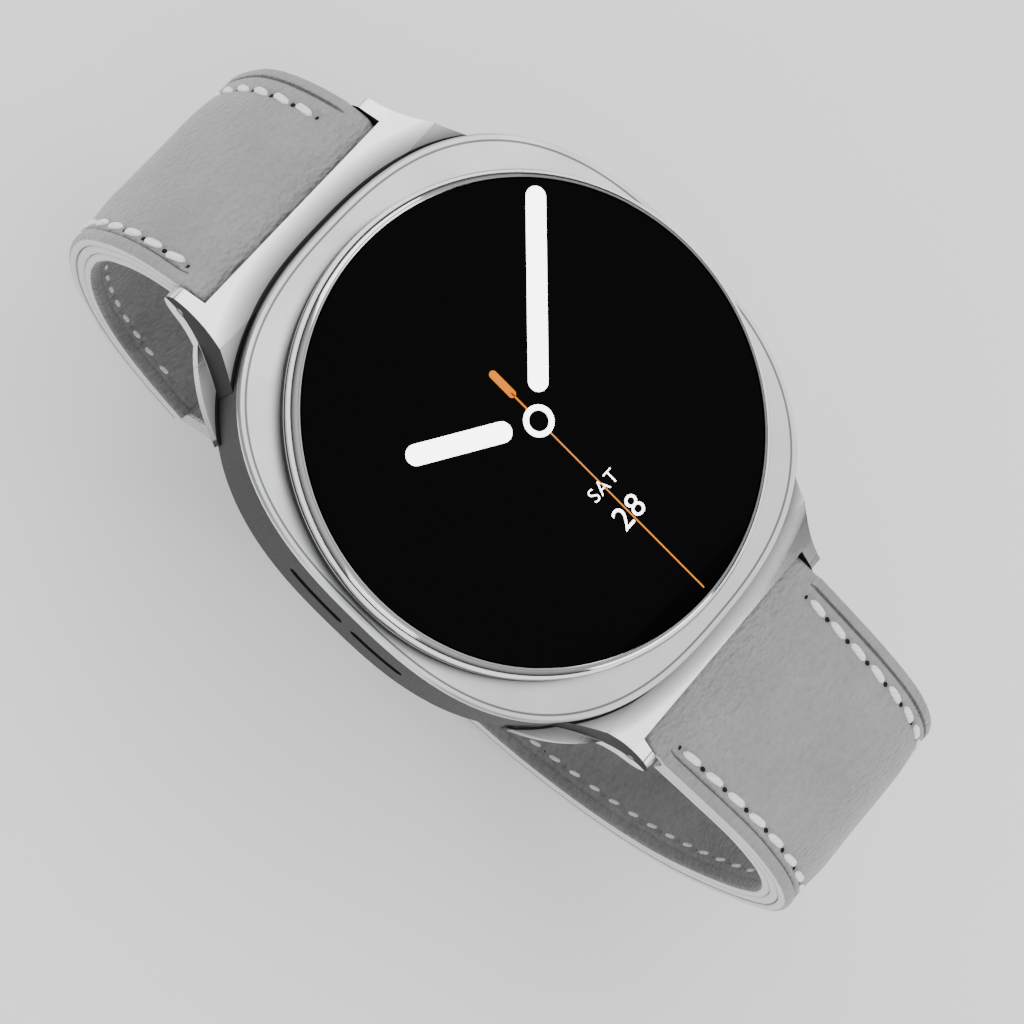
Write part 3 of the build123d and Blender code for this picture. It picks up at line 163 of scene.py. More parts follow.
class Paint:
    """A node material with short calls for the nodes used here."""

    def __init__(self, name, color, roughness, metallic=0.0, **sockets):
        self.mat = bpy.data.materials.new(name)
        self.mat.use_nodes = True
        self.tree = self.mat.node_tree
        self.shader = self.tree.nodes["Principled BSDF"]
        self.shader.inputs["Base Color"].default_value = (*color, 1)
        self.shader.inputs["Roughness"].default_value = roughness
        self.shader.inputs["Metallic"].default_value = metallic
        for key, value in sockets.items():
            self.shader.inputs[key.replace("_", " ")].default_value = value
        self.texture = self.add("ShaderNodeTexCoord")
        self.place = self.texture.outputs["Object"]

    def add(self, kind, **settings):
        node = self.tree.nodes.new(kind)
        for key, value in settings.items():
            setattr(node, key, value)
        return node

    def link(self, source, target):
        self.tree.links.new(source, target)

    def stretched(self, scale):
        """Object coordinates scaled by a vector, in 1/m."""
        mapping = self.add("ShaderNodeMapping")
        mapping.inputs["Scale"].default_value = scale
        self.link(self.place, mapping.inputs["Vector"])
        return mapping.outputs["Vector"]

    def noise(self, size, detail=2.0, place=None):
        """Noise with features about size millimetres across, from 0 to 1."""
        node = self.add("ShaderNodeTexNoise")
        node.inputs["Scale"].default_value = 1.0 / (size * MM)
        node.inputs["Detail"].default_value = detail
        self.link(place or self.place, node.inputs["Vector"])
        return node.outputs["Fac"]

    def cells(self, size, place):
        """Smooth Voronoi distance with cells about size millimetres across."""
        node = self.add("ShaderNodeTexVoronoi", feature="SMOOTH_F1")
        node.inputs["Scale"].default_value = 1.0 / (size * MM)
        self.link(place, node.inputs["Vector"])
        return node.outputs["Distance"]

    def remap(self, value, low, high, start, end):
        """start where value is low, end where it is high."""
        node = self.add("ShaderNodeMapRange")
        for socket, number in zip(("From Min", "From Max", "To Min", "To Max"), (low, high, start, end)):
            node.inputs[socket].default_value = number
        self.link(value, node.inputs["Value"])
        return node.outputs["Result"]

    def math(self, operation, a, b):
        """The result of a math node on two numbers or sockets."""
        node = self.add("ShaderNodeMath", operation=operation)
        for socket, value in zip(node.inputs, (a, b)):
            if isinstance(value, (int, float)):
                socket.default_value = value
            else:
                self.link(value, socket)
        return node.outputs["Value"]

    def band(self, value, low, high):
        """1 where value lies between low and high millimetres, with soft edges."""
        soft = BAND_SOFTNESS * MM
        rise = self.remap(value, low * MM - soft, low * MM + soft, 0.0, 1.0)
        fall = self.remap(value, high * MM - soft, high * MM + soft, 1.0, 0.0)
        return self.math("MULTIPLY", rise, fall)

    def mix(self, factor, first, second):
        """A colour between first and second."""
        node = self.add("ShaderNodeMix", data_type="RGBA")
        self.link(factor, node.inputs["Factor"])
        node.inputs["A"].default_value = (*first, 1)
        node.inputs["B"].default_value = (*second, 1)
        return node.outputs["Result"]

    def case_outline(self, across, beyond):
        """1 on the case outline, less inside it and more outside, from distances off the middle."""
        return self.math(
            "ADD",
            self.math("POWER", self.math("DIVIDE", across, CASE_HALF_WIDTH * MM), CASE_POWER),
            self.math("POWER", self.math("DIVIDE", beyond, CASE_HALF_LENGTH * MM), CASE_POWER),
        )

    def darken_as_shade(self, dark, bright_color, roughness):
        """Polished metal painted dull black where dark is 1, as painted shade and painted reflection of dark
        surroundings.
        """
        self.color(self.mix(dark, bright_color, PAINTED_SHADE_BLACK))
        self.link(self.math("SUBTRACT", 1.0, dark), self.shader.inputs["Metallic"])
        cloud = self.remap(self.noise(5.0, 4.0), *NOISE_RANGE, roughness, roughness + 0.05)
        self.rough(self.math("ADD", cloud, self.math("MULTIPLY", dark, PAINTED_SHADE_ROUGHNESS)))
        self.shader.inputs["Specular IOR Level"].default_value = 0.15

    def color(self, socket):
        self.link(socket, self.shader.inputs["Base Color"])

    def rough(self, socket):
        self.link(socket, self.shader.inputs["Roughness"])

    def bump(self, height, depth, strength=1.0):
        """Relief of depth millimetres."""
        node = self.add("ShaderNodeBump")
        node.inputs["Strength"].default_value = strength
        node.inputs["Distance"].default_value = depth * MM
        self.link(height, node.inputs["Height"])
        self.link(node.outputs["Normal"], self.shader.inputs["Normal"])


def grey(value):
    """A grey with a faint blue."""
    return (value, value, value * 1.01)


def leather(name, light, dark, roughness, grain=0.36, depth=0.35):
    """Fine pebbled leather: soft pads, low ripples across the strap, and a gentle sheen."""
    paint = Paint(name, light, roughness, Sheen_Weight=0.18, Sheen_Roughness=0.4)
    pebbles = paint.cells(grain, paint.stretched((0.8, 1.15, 1.15)))
    pads = paint.remap(pebbles, 0.1, 0.75, 1.0, 0.0)
    ripples = paint.noise(grain * 1.9, 5.0, paint.stretched((0.6, 1.3, 1.3)))
    height = paint.math("ADD", paint.math("MULTIPLY", pads, 0.42), paint.math("MULTIPLY", ripples, 0.45))
    clouds = paint.noise(7.0, 3.0)
    tone = paint.math("ADD", paint.math("MULTIPLY", clouds, 0.5), paint.math("MULTIPLY", ripples, 0.35))
    # painted shade: the tone is a little darker between the pebbles
    tone = paint.math("ADD", tone, paint.math("MULTIPLY", pads, 0.15))
    paint.color(paint.mix(paint.remap(tone, 0.38, 0.68, 0.0, 1.0), dark, light))
    paint.rough(paint.remap(ripples, *NOISE_RANGE, roughness - 0.1, roughness + 0.1))
    paint.bump(height, depth)
    return paint.mat


def edge_paint(name, light, dark):
    """Sealed, slightly glossy edge with a waxy unevenness."""
    paint = Paint(name, light, 0.42)
    streak = paint.noise(1.0, 3.0, paint.stretched((1, 0.3, 1.6)))
    paint.color(paint.mix(paint.remap(streak, *NOISE_RANGE, 0.0, 1.0), dark, light))
    paint.rough(paint.remap(streak, *NOISE_RANGE, 0.36, 0.55))
    paint.bump(paint.noise(0.5), 0.03, 0.4)
    return paint.mat


def thread(name, light, dark):
    """Waxed thread with a visible twist."""
    paint = Paint(name, light, 0.6, Sheen_Weight=0.2)
    twist = paint.add("ShaderNodeTexWave", wave_type="BANDS", bands_direction="DIAGONAL")
    twist.inputs["Scale"].default_value = 900
    twist.inputs["Distortion"].default_value = 1.5
    paint.link(paint.place, twist.inputs["Vector"])
    paint.color(paint.mix(twist.outputs["Fac"], dark, light))
    paint.rough(paint.remap(paint.noise(0.3), *NOISE_RANGE, 0.5, 0.75))
    paint.bump(twist.outputs["Fac"], 0.05, 0.5)
    return paint.mat


def polished(name, color, roughness=0.09, haze=0.05):
    """Polished metal with a faint cloudy haze and hairline wear."""
    paint = Paint(name, color, roughness, 1.0)
    cloud = paint.noise(5.0, 4.0)
    hairs = paint.noise(0.5, 2.0, paint.stretched((1, 0.06, 1)))
    paint.rough(paint.remap(cloud, *NOISE_RANGE, roughness, roughness + haze))
    paint.bump(hairs, 0.002, 0.3)
    return paint.mat


def brushed(name, color, roughness, direction=(0.05, 1, 1), size=0.25, relief=0.006):
    """Metal with fine parallel brushing and a tone that follows it."""
    paint = Paint(name, color, roughness, 1.0)
    lines = paint.noise(size, 3.0, paint.stretched(direction))
    shade = tuple(channel * 0.86 for channel in color)
    paint.color(paint.mix(paint.remap(lines, *NOISE_RANGE, 0.0, 1.0), shade, color))
    paint.rough(paint.remap(lines, *NOISE_RANGE, roughness - 0.06, roughness + 0.08))
    paint.bump(lines, relief, 0.5)
    return paint.mat


def moulded(name, color, roughness, size=0.2):
    """Moulded plastic or rubber with a fine eggshell texture."""
    paint = Paint(name, color, roughness)
    grain = paint.noise(size, 2.0)
    light = tuple(min(1.0, channel * 1.15 + 0.004) for channel in color)
    paint.color(paint.mix(grain, color, light))
    paint.rough(paint.remap(grain, *NOISE_RANGE, roughness - 0.05, roughness + 0.08))
    paint.bump(grain, 0.01, 0.4)
    return paint.mat


def banded_ring(name):
    """Polished ring with two painted dark bands in its wall and a fine painted dark line on its top, as
    painted reflection of dark surroundings and painted shade.
    """
    paint = Paint(name, POLISHED_RING, 0.08, 1.0)
    split = paint.add("ShaderNodeSeparateXYZ")
    paint.link(paint.place, split.inputs["Vector"])
    height = split.outputs["Z"]
    dark = None
    # painted reflection and painted shade: dark bands in the ring's wall by height, and a dark line on its
    # top by radius
    for low, high in RING_DARK_BANDS:
        band = paint.band(height, low, high)
        dark = band if dark is None else paint.math("MAXIMUM", dark, band)
    radius = paint.math(
        "SQRT",
        paint.math(
            "ADD",
            paint.math("MULTIPLY", split.outputs["X"], split.outputs["X"]),
            paint.math("MULTIPLY", split.outputs["Y"], split.outputs["Y"]),
        ),
        0.0,
    )
    dark = paint.math("MAXIMUM", dark, paint.band(radius, *RING_TOP_LINE))
    paint.darken_as_shade(dark, POLISHED_RING, 0.06)
    return paint.mat


def connector_metal(name):
    """Polished metal with painted shade: darker towards the case, painted black at the case edge, on its
    flanks over the skirt and along its crease.
    """
    paint = Paint(name, (0.93, 0.93, 0.94), 0.12, 1.0)
    facing = paint.add("ShaderNodeSeparateXYZ")
    paint.link(paint.texture.outputs["Normal"], facing.inputs["Vector"])
    split = paint.add("ShaderNodeSeparateXYZ")
    paint.link(paint.place, split.inputs["Vector"])
    # painted shade on the sides that face sideways, above the skirt
    sideways = paint.math("ABSOLUTE", facing.outputs["X"], 0.0)
    flank_shade = paint.remap(sideways, *FLANK_SHADE_FACING, 0.0, 1.0)
    over_skirt = paint.remap(split.outputs["Z"], SKIRT_TOP * MM, (SKIRT_TOP + 0.1) * MM, 0.0, 1.0)
    flank_shade = paint.math("MULTIPLY", flank_shade, over_skirt)
    across = paint.math("ABSOLUTE", split.outputs["X"], 0.0)
    beyond = paint.math("ABSOLUTE", split.outputs["Y"], 0.0)
    # painted shade line along the crease
    crease = paint.math("MULTIPLY", paint.band(beyond, *CREASE_LINE), CREASE_DARKNESS)
    dark = paint.math("MAXIMUM", flank_shade, crease)
    outline = paint.case_outline(across, beyond)
    # painted shade where the connector meets the case, fading out away from it
    seam_shade = paint.remap(outline, *CONNECTOR_SEAM_SHADE, 1.0, 0.0)
    shade = paint.remap(outline, *CONNECTOR_SHADE, CONNECTOR_SHADE_DARKNESS, 0.0)
    dark = paint.math("MAXIMUM", dark, paint.math("MAXIMUM", seam_shade, shade))
    paint.darken_as_shade(dark, (0.87, 0.87, 0.88), 0.14)
    hairs = paint.noise(0.4, 2.0, paint.stretched((0.05, 1, 1)))
    paint.bump(hairs, 0.0004, 0.2)
    return paint.mat


def plate_metal(name, color, roughness):
    """Bead-blasted plate with a fine dark line inside its rim, and painted shade along its rim where a
    connector meets it.
    """
    paint = Paint(name, color, roughness, 1.0)
    split = paint.add("ShaderNodeSeparateXYZ")
    paint.link(paint.place, split.inputs["Vector"])
    across = paint.math("ABSOLUTE", split.outputs["X"], 0.0)
    beyond = paint.math("ABSOLUTE", split.outputs["Y"], 0.0)
    outline = paint.case_outline(across, beyond)
    low, high = PLATE_LINE
    soft = OUTLINE_SOFTNESS
    line = paint.math(
        "MULTIPLY",
        paint.remap(outline, low - soft, low + soft, 0.0, PLATE_LINE_DARKNESS),
        paint.remap(outline, high - soft, high + soft, 1.0, 0.0),
    )
    # painted shade on the rim where a connector meets the plate
    near, far = PLATE_EDGE_START
    edge = paint.math(
        "MULTIPLY",
        paint.remap(outline, *PLATE_EDGE, 0.0, PLATE_EDGE_DARKNESS),
        paint.remap(beyond, near * MM, far * MM, 0.0, 1.0),
    )
    paint.color(paint.mix(paint.math("MAXIMUM", line, edge), color, PLATE_LINE_BLACK))
    cloud = paint.noise(6.0, 3.0)
    paint.rough(paint.remap(cloud, *NOISE_RANGE, roughness - 0.05, roughness + 0.06))
    paint.bump(paint.noise(0.12, 2.0), 0.006, 0.5)
    return paint.mat


def glass_black(name):
    """Coated cover glass over a black panel."""
    paint = Paint(name, (0.001, 0.001, 0.0012), 0.03)
    paint.shader.inputs["Specular IOR Level"].default_value = 0.02
    smear = paint.noise(9.0, 4.0)
    paint.rough(paint.remap(smear, 0.35, 0.7, 0.02, 0.05))
    return paint.mat


def lit(name, color, strength):
    """A lit area of the display, with the fine mesh of its pixels."""
    paint = Paint(name, color, 0.4)
    paint.shader.inputs["Specular IOR Level"].default_value = 0.1
    paint.shader.inputs["Emission Color"].default_value = (*color, 1)
    paint.shader.inputs["Emission Strength"].default_value = strength
    dots = paint.noise(0.15, 1.0)
    dim = tuple(channel * 0.97 for channel in color)
    paint.color(paint.mix(dots, dim, color))
    return paint.mat


def floor_paint():
    """Pale matt floor with a very faint cloudiness."""
    paint = Paint("studio_floor", (0.93, 0.92, 0.905), 0.8)
    cloud = paint.noise(60.0, 3.0)
    paint.color(paint.mix(cloud, (0.91, 0.90, 0.885), (0.95, 0.94, 0.925)))
    return paint.mat


FACE_LEATHER = leather("face_leather", grey(0.31), grey(0.24), 0.46, depth=0.33)
CREASE_LEATHER = leather("crease_leather", grey(0.13), grey(0.09), 0.6)
LINING_LEATHER = leather("lining_leather", grey(0.17), grey(0.11), 0.6, depth=0.25)
EDGE = edge_paint("edge_paint", grey(0.62), grey(0.54))
THREAD = thread("thread", (0.92, 0.915, 0.90), (0.80, 0.79, 0.77))
# painted shade: a darker copy of the thread for the stitches on the lining
SHADED_THREAD = thread("shaded_thread", (0.55, 0.55, 0.54), (0.42, 0.42, 0.41))
# painted shade: black domes that stand in for the shade inside the stitch holes
HOLE_SHADE = moulded("thread_hole_shade", (0.004, 0.004, 0.004), 0.9)

CHROME = connector_metal("chrome")
RING_STEEL = banded_ring("ring_steel")
PLATE = plate_metal("plate_satin", (0.86, 0.87, 0.88), 0.34)
SIDE_WALL = moulded("side_anodised", (0.008, 0.008, 0.0085), 0.5, 0.15)
SIDE_WALL.node_tree.nodes["Principled BSDF"].inputs["Specular IOR Level"].default_value = 0.2
CLASP_METAL = brushed("clasp_brushed", (0.72, 0.72, 0.73), 0.28)
STEEL = brushed("plain_steel", (0.62, 0.62, 0.63), 0.3)
SPRING = polished("spring_wire", (0.6, 0.6, 0.62), 0.2)
MAGNET = polished("nickel", (0.75, 0.74, 0.72), 0.15)
REAR = moulded("rear_ceramic", (0.03, 0.03, 0.032), 0.22, 1.5)
WINDOW = glass_black("sensor_glass")
GLASS = glass_black("cover_glass_black")
BOARD = moulded("board_green", (0.02, 0.12, 0.06), 0.4)
BLACK = moulded("module_black", (0.03, 0.03, 0.03), 0.55)
RUBBER = moulded("seal_rubber", (0.02, 0.02, 0.02), 0.75)
FLEX = moulded("flex_film", (0.45, 0.22, 0.05), 0.35)
COPPER = brushed("coil_copper", (0.85, 0.45, 0.25), 0.3)
EMITTER = moulded("emitter_resin", (0.75, 0.78, 0.70), 0.2)

NODE_PAINT = {
    "case_plate": PLATE, "case_side": SIDE_WALL, "polished_steel": RING_STEEL,
    "connector_chrome": CHROME, "cover_glass": GLASS, "display": GLASS, "seal": RUBBER,
    "flex": FLEX, "board": BOARD, "chips": BLACK, "plain_steel": STEEL, "spring_steel": SPRING,
    "battery": BLACK, "frame_plastic": BLACK, "module_black": BLACK, "rear_ceramic": REAR,
    "sensor_glass": WINDOW, "copper": COPPER, "ferrite": BLACK, "emitters": EMITTER,
    "strap_leather": FACE_LEATHER, "strap_edge": EDGE, "strap_lining": LINING_LEATHER,
    "clasp_metal": CLASP_METAL, "magnet": MAGNET,
}


def paint_nodes():
    """Gives every CAD node the material of its slot in the record."""
    for part in frame["record"]["subparts"]:
        node = frame["nodes"][part["node"]]
        node.data.materials.clear()
        node.data.materials.append(NODE_PAINT[part["material_slot"]])


# =====================================================================
# Meshes
# =====================================================================


def make_piece(name, verts, faces, materials, body, smooth=True, indices=None):
    """A mesh piece from millimetre points; it rides on a body."""
    mesh = bpy.data.meshes.new(name)
    mesh.from_pydata([tuple(c * MM for c in v) for v in verts], [], faces)
    for material in materials:
        mesh.materials.append(material)
    if indices is not None:
        mesh.polygons.foreach_set("material_index", indices)
    mesh.polygons.foreach_set("use_smooth", [smooth] * len(mesh.polygons))
    mesh.validate()
    piece = bpy.data.objects.new(name, mesh)
    bpy.context.scene.collection.objects.link(piece)
    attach(piece, body)
    return piece


def cubic_spline(points, start, end):
    """A cubic through the points, parametrised by chord length, with end directions."""
    p = np.array(points, float)
    t = np.concatenate(([0], np.cumsum(np.hypot(*np.diff(p, axis=0).T))))
    h = np.diff(t)
    n = len(p)
    system = np.zeros((n, n))
    right = np.zeros((n, 2))
    system[0, 0] = 1
    system[-1, -1] = 1
    right[0] = np.array(start) / hypot(*start)
    right[-1] = np.array(end) / hypot(*end)
    for i in range(1, n - 1):
        system[i, i - 1] = h[i]
        system[i, i] = 2 * (h[i - 1] + h[i])
        system[i, i + 1] = h[i - 1]
        before = h[i] / h[i - 1] * (p[i] - p[i - 1])
        after = h[i - 1] / h[i] * (p[i + 1] - p[i])
        right[i] = 3 * (before + after)
    slope = np.linalg.solve(system, right)
    samples = []
    for i in range(n - 1):
        for u in np.linspace(0, 1, SPLINE_STEPS, endpoint=False):
            a = (2 * u**3 - 3 * u**2 + 1) * p[i] + (u**3 - 2 * u**2 + u) * h[i] * slope[i]
            b = (-2 * u**3 + 3 * u**2) * p[i + 1] + (u**3 - u**2) * h[i] * slope[i + 1]
            samples.append(a + b)
    samples.append(p[-1])
    return np.array(samples)


def resample(line, step):
    """Points a step apart along a line."""
    lengths = np.concatenate(([0], np.cumsum(np.hypot(*np.diff(line, axis=0).T))))
    count = max(2, round(lengths[-1] / step))
    marks = np.linspace(0, lengths[-1], count + 1)
    return np.stack([np.interp(marks, lengths, line[:, k]) for k in (0, 1)], 1), marks


def half_width(y, z, ear_half_width):
    """Half the strap's width at a point of its outer line."""
    y = abs(y)
    distances, widths = WIDTH_BY_LENGTH
    plan = np.interp(
        y, (NOTCH_END, NOTCH_END + 0.5, *distances), (NOTCH_HALF_WIDTH, ear_half_width, *widths)
    )
    return min(plan, np.interp(z, *WIDTH_BY_HEIGHT))


class StrapHalf:
    """Stations along one strap half: place, outward direction, width and thickness."""

    def __init__(self, prefix, side, line, tangents, ear_half_width, stitch_insets, first_holes):
        self.prefix = prefix
        self.side = side
        self.stitch_insets = stitch_insets
        self.first_holes = first_holes
        curve = cubic_spline(line, *tangents)
        self.points, self.marks = resample(curve, STATION_STEP)
        heading = np.gradient(self.points, axis=0)
        heading /= np.hypot(*heading.T)[:, None]
        self.heading = heading
        self.out = np.stack([-heading[:, 1], heading[:, 0]], 1) * side
        share = self.marks / self.marks[-1]
        self.thickness = THICKNESS_AT_BAR + (THICKNESS_AT_CLASP - THICKNESS_AT_BAR) * share
        self.width = np.array([half_width(y, z, ear_half_width) for y, z in self.points])

    def inset(self, x):
        """Distance from the edge to the stitch row on the side of x."""
        return self.stitch_insets[0] if x > 0 else self.stitch_insets[1]

    def first_hole(self, x):
        """Distance along the outer line to the first hole on the side of x."""
        return self.first_holes[0] if x > 0 else self.first_holes[1]

    def at(self, mark):
        """(place, heading, outward, width, thickness) at a distance along the outer line."""
        place = np.array([np.interp(mark, self.marks, self.points[:, k]) for k in (0, 1)])
        heading = np.array([np.interp(mark, self.marks, self.heading[:, k]) for k in (0, 1)])
        out = np.array([np.interp(mark, self.marks, self.out[:, k]) for k in (0, 1)])
        width = float(np.interp(mark, self.marks, self.width))
        thickness = float(np.interp(mark, self.marks, self.thickness))
        return place, heading, out, width, thickness


def bell(distance, spread):
    """1 at no distance, falling smoothly to 0."""
    return exp(-((distance / spread) ** 2))


def smooth_step(value):
    """0 up to 0 and 1 from 1, with a smooth rise between."""
    value = min(1.0, max(0.0, value))
    return value * value * (3 - 2 * value)


def edge_roll(edge, reach, drop):
    """How far a rounded edge falls below the face."""
    if edge >= reach:
        return 0.0
    u = 1 - edge / reach
    return drop * (1 - sqrt(max(0.0, 1 - u * u)))


def stitch_marks(half, row):
    """Distances along the outer line of the holes of one stitch row."""
    first = half.first_hole(row)
    count = int((half.marks[-1] - STITCH_END_MARGIN - first) / STITCH_PITCH)
    return [first + k * STITCH_PITCH for k in range(count + 1)]


def grid_piece(name, half, rows, materials, side_index, body, crease=None):
    """A closed layer from rows of (top points, side points, bottom points).

    crease is (first row, columns): there the top takes the last material.
    """
    verts = []
    faces = []
    indices = []
    count = len(rows[0][0])
    side_count = len(rows[0][1])
    ring = 2 * count + 2 * side_count
    for top, right, bottom, left in rows:
        verts += top + right + bottom[::-1] + left
    for i in range(len(rows) - 1):
        for k in range(ring):
            following = (k + 1) % ring
            a = i * ring
            b = (i + 1) * ring
            quad = (a + k, a + following, b + following, b + k)
            faces.append(quad if half.side > 0 else quad[::-1])
            on_side = count - 1 <= k < count + side_count or k >= 2 * count + side_count - 1
            if k < count - 1:
                creased = crease is not None and i >= crease[0] and k in crease[1]
                indices.append(len(materials) - 1 if creased else 0)
            elif on_side:
                indices.append(side_index)
            else:
                indices.append(len(materials) - 1 if side_index == 0 else 0)
    for i, flip in ((0, False), (len(rows) - 1, True)):
        a = i * ring
        bottom_start = count + side_count
        for k in range(count - 1):
            quad = (a + k, a + bottom_start + count - 1 - k, a + bottom_start + count - 2 - k, a + k + 1)
            faces.append(quad if flip == (half.side > 0) else quad[::-1])
            indices.append(side_index)
        right = [a + count - 1 + k for k in range(side_count + 2)]
        left = [a + bottom_start + count - 1 + k for k in range(side_count + 1)] + [a]
        for loop in (right, left):
            faces.append(tuple(loop[::-1]) if flip == (half.side > 0) else tuple(loop))
            indices.append(side_index)
    return make_piece(name, verts, faces, materials, body, True, indices)


def to_space(x, place, out, height):
    """The point at x across the strap and a height over its outer line."""
    return (x, place[0] + out[0] * height, place[1] + out[1] * height)


# =====================================================================
# Leather strap
# =====================================================================

GROOVE_INSET = 1.15
GROOVE_DEPTH = 0.3
GROOVE_SPREAD = 0.14
LINING_GROOVE_DEPTH = 0.14
LINING_GROOVE_SPREAD = 0.17
FACE_DIMPLE = (0.3, 0.3)  # depth and spread round each hole
LINING_DIMPLE = (0.2, 0.28)
FACE_EDGE = (0.6, 0.4)  # reach and drop of a rounded edge
LINING_EDGE = (0.5, 0.3)
INNER_EDGE = (0.15, 0.06)
CORE_EDGE = (0.15, 0.08)
LOOP_EDGE = (0.3, 0.1)
FACE_WAVE, FACE_WAVE_SIZE = 0.05, 4.0  # height and size of the leather's slow unevenness
LINING_WAVE, LINING_WAVE_SIZE = 0.04, 3.0
MIDDLE_COLUMNS = 25
CORE_INSET = 0.04
CORE_GAP = 0.02
CORE_BORDER = 0.3
CORE_BULGE = 0.06
LINING_INSET = 0.02
LOOP_ARC = 212  # degrees
COLUMN_STEP = 0.11
COLUMN_BORDER = 3.3
LOOP_STEPS = 34
CHANNEL_DEPTH = 0.12
CHANNEL_SPREAD = 0.5
CROWN = 0.22
CROWN_REACH = 6
CROWN_BORDER = (2.2, 3.4)  # where across the strap it starts, and over what distance it rises
RELIEF_START = 1.7
RELIEF_REACH = 1.2
UNDER_START = 1.4
UNDER_REACH = 1.6


def dimple(half, x, edge, mark, depth, spread):
    """Depth of the dimple round the nearest hole of the row on the side of x."""
    beyond = mark - half.first_hole(x)
    if beyond <= -STITCH_PITCH / 2:
        return 0.0
    along = (beyond + STITCH_PITCH / 2) % STITCH_PITCH - STITCH_PITCH / 2
    return depth * bell(hypot(along, edge - half.inset(x)), spread)


def face_height(half, x, width, mark):
    """Height of the face leather over the strap's outer line."""
    edge = width - abs(x)
    height = -edge_roll(edge, *FACE_EDGE)
    if mark > 0:
        fade = smooth_step((mark - RELIEF_START) / RELIEF_REACH)
        height -= fade * GROOVE_DEPTH * bell(edge - GROOVE_INSET, GROOVE_SPREAD)
        height -= fade * CHANNEL_DEPTH * bell(edge - half.inset(x), CHANNEL_SPREAD)
        crown_start, crown_rise = CROWN_BORDER
        height += smooth_step(mark / CROWN_REACH) * CROWN * smooth_step((edge - crown_start) / crown_rise)
        height -= dimple(half, x, edge, mark, *FACE_DIMPLE)
    height += FACE_WAVE * noise.noise(
        Vector((x / FACE_WAVE_SIZE, mark / FACE_WAVE_SIZE, 7.0 * half.side))
    )
    return height


def lining_depth(half, x, width, mark):
    """How far the lining's wrist side falls short of its full thickness, as a number below 0."""
    edge = width - abs(x)
    depth = -edge_roll(edge, *LINING_EDGE)
    depth -= LINING_GROOVE_DEPTH * bell(edge - GROOVE_INSET, LINING_GROOVE_SPREAD)
    depth -= dimple(half, x, edge, mark, *LINING_DIMPLE)
    depth += LINING_WAVE * noise.noise(
        Vector((x / LINING_WAVE_SIZE, mark / LINING_WAVE_SIZE, 3.0 + 5.0 * half.side))
    )
    return min(0.0, depth)


def side_points(x, place, out, top, bottom, bulge):
    """Two points that round the side of a layer."""
    step = (bottom - top) / 3
    return [to_space(x + bulge, place, out, top + step), to_space(x + bulge, place, out, top + 2 * step)]


def layer_row(place, out, width, tops, bottoms, xs, bulge=0.05):
    """One cross-section of a layer: (top, right, bottom, left) points."""
    top = [to_space(x, place, out, h) for x, h in zip(xs, tops)]
    bottom = [to_space(x, place, out, h) for x, h in zip(xs, bottoms)]
    right = side_points(width, place, out, tops[-1], bottoms[-1], bulge)
    left = side_points(-width, place, out, tops[0], bottoms[0], -bulge)[::-1]
    return top, right, bottom, left


def columns(width):
    """Positions across the strap: fine near both edges, coarser between."""
    edge = list(np.arange(0, COLUMN_BORDER, COLUMN_STEP))
    middle = list(np.linspace(-width + COLUMN_BORDER, width - COLUMN_BORDER, MIDDLE_COLUMNS))
    return [-width + e for e in edge] + middle + [width - e for e in reversed(edge)]


def groove_columns():
    """The quads across the strap that lie in the two border grooves."""
    total = len(columns(NOTCH_HALF_WIDTH)) - 1
    near = [k for k in range(total) if abs((k + 0.5) * COLUMN_STEP - GROOVE_INSET) < COLUMN_STEP]
    return set(near) | {total - 1 - k for k in near}


def face_rows(half):
    """The face leather: round the spring bar from below, then along the strap."""
    rows = []
    centre = np.array([half.side * BAR_Y, BAR_Z])
    width = NOTCH_HALF_WIDTH
    xs = columns(width)
    arc = radians(LOOP_ARC)
    for step in range(LOOP_STEPS):
        angle = pi / 2 + arc * (1 - step / LOOP_STEPS)
        out = np.array([cos(angle) * half.side, sin(angle)])
        place = centre + out * LOOP_RADIUS
        mark = -LOOP_RADIUS * (angle - pi / 2)
        tops = [face_height(half, x, width, mark) for x in xs]
        bottoms = [-LOOP_LEATHER + 0.5 * edge_roll(width - abs(x), *LOOP_EDGE) for x in xs]
        rows.append(layer_row(place, out, width, tops, bottoms, xs))
    for i, mark in enumerate(half.marks):
        width = half.width[i]
        xs = columns(width)
        change = FACE_SHARE * half.thickness[i] - LOOP_LEATHER
        under = LOOP_LEATHER + change * smooth_step((mark - UNDER_START) / UNDER_REACH)
        tops = [face_height(half, x, width, mark) for x in xs]
        bottoms = [-under + edge_roll(width - abs(x), *INNER_EDGE) for x in xs]
        rows.append(layer_row(half.points[i], half.out[i], width, tops, bottoms, xs))
    return rows


def core_rows(half):
    """The stiff core, a little inside the two leathers."""
    rows = []
    for i, mark in enumerate(half.marks):
        if mark < LINING_START:
            continue
        width = half.width[i] - CORE_INSET
        xs = [-width, -width + CORE_BORDER, 0.0, width - CORE_BORDER, width]
        top = -FACE_SHARE * half.thickness[i] - CORE_GAP
        bottom = -CORE_SHARE * half.thickness[i] + CORE_GAP
        tops = [top - edge_roll(width - abs(x), *CORE_EDGE) for x in xs]
        bottoms = [bottom + edge_roll(width - abs(x), *CORE_EDGE) for x in xs]
        rows.append(layer_row(half.points[i], half.out[i], width, tops, bottoms, xs, CORE_BULGE))
    return rows


def lining_rows(half):
    """The lining leather, on the wrist side."""
    rows = []
    for i, mark in enumerate(half.marks):
        if mark < LINING_START:
            continue
        width = half.width[i] - LINING_INSET
        xs = columns(width)
        top = -CORE_SHARE * half.thickness[i]
        tops = [top - edge_roll(width - abs(x), *INNER_EDGE) for x in xs]
        bottoms = [-half.thickness[i] - lining_depth(half, x, width, mark) for x in xs]
        rows.append(layer_row(half.points[i], half.out[i], width, tops, bottoms, xs))
    return rows


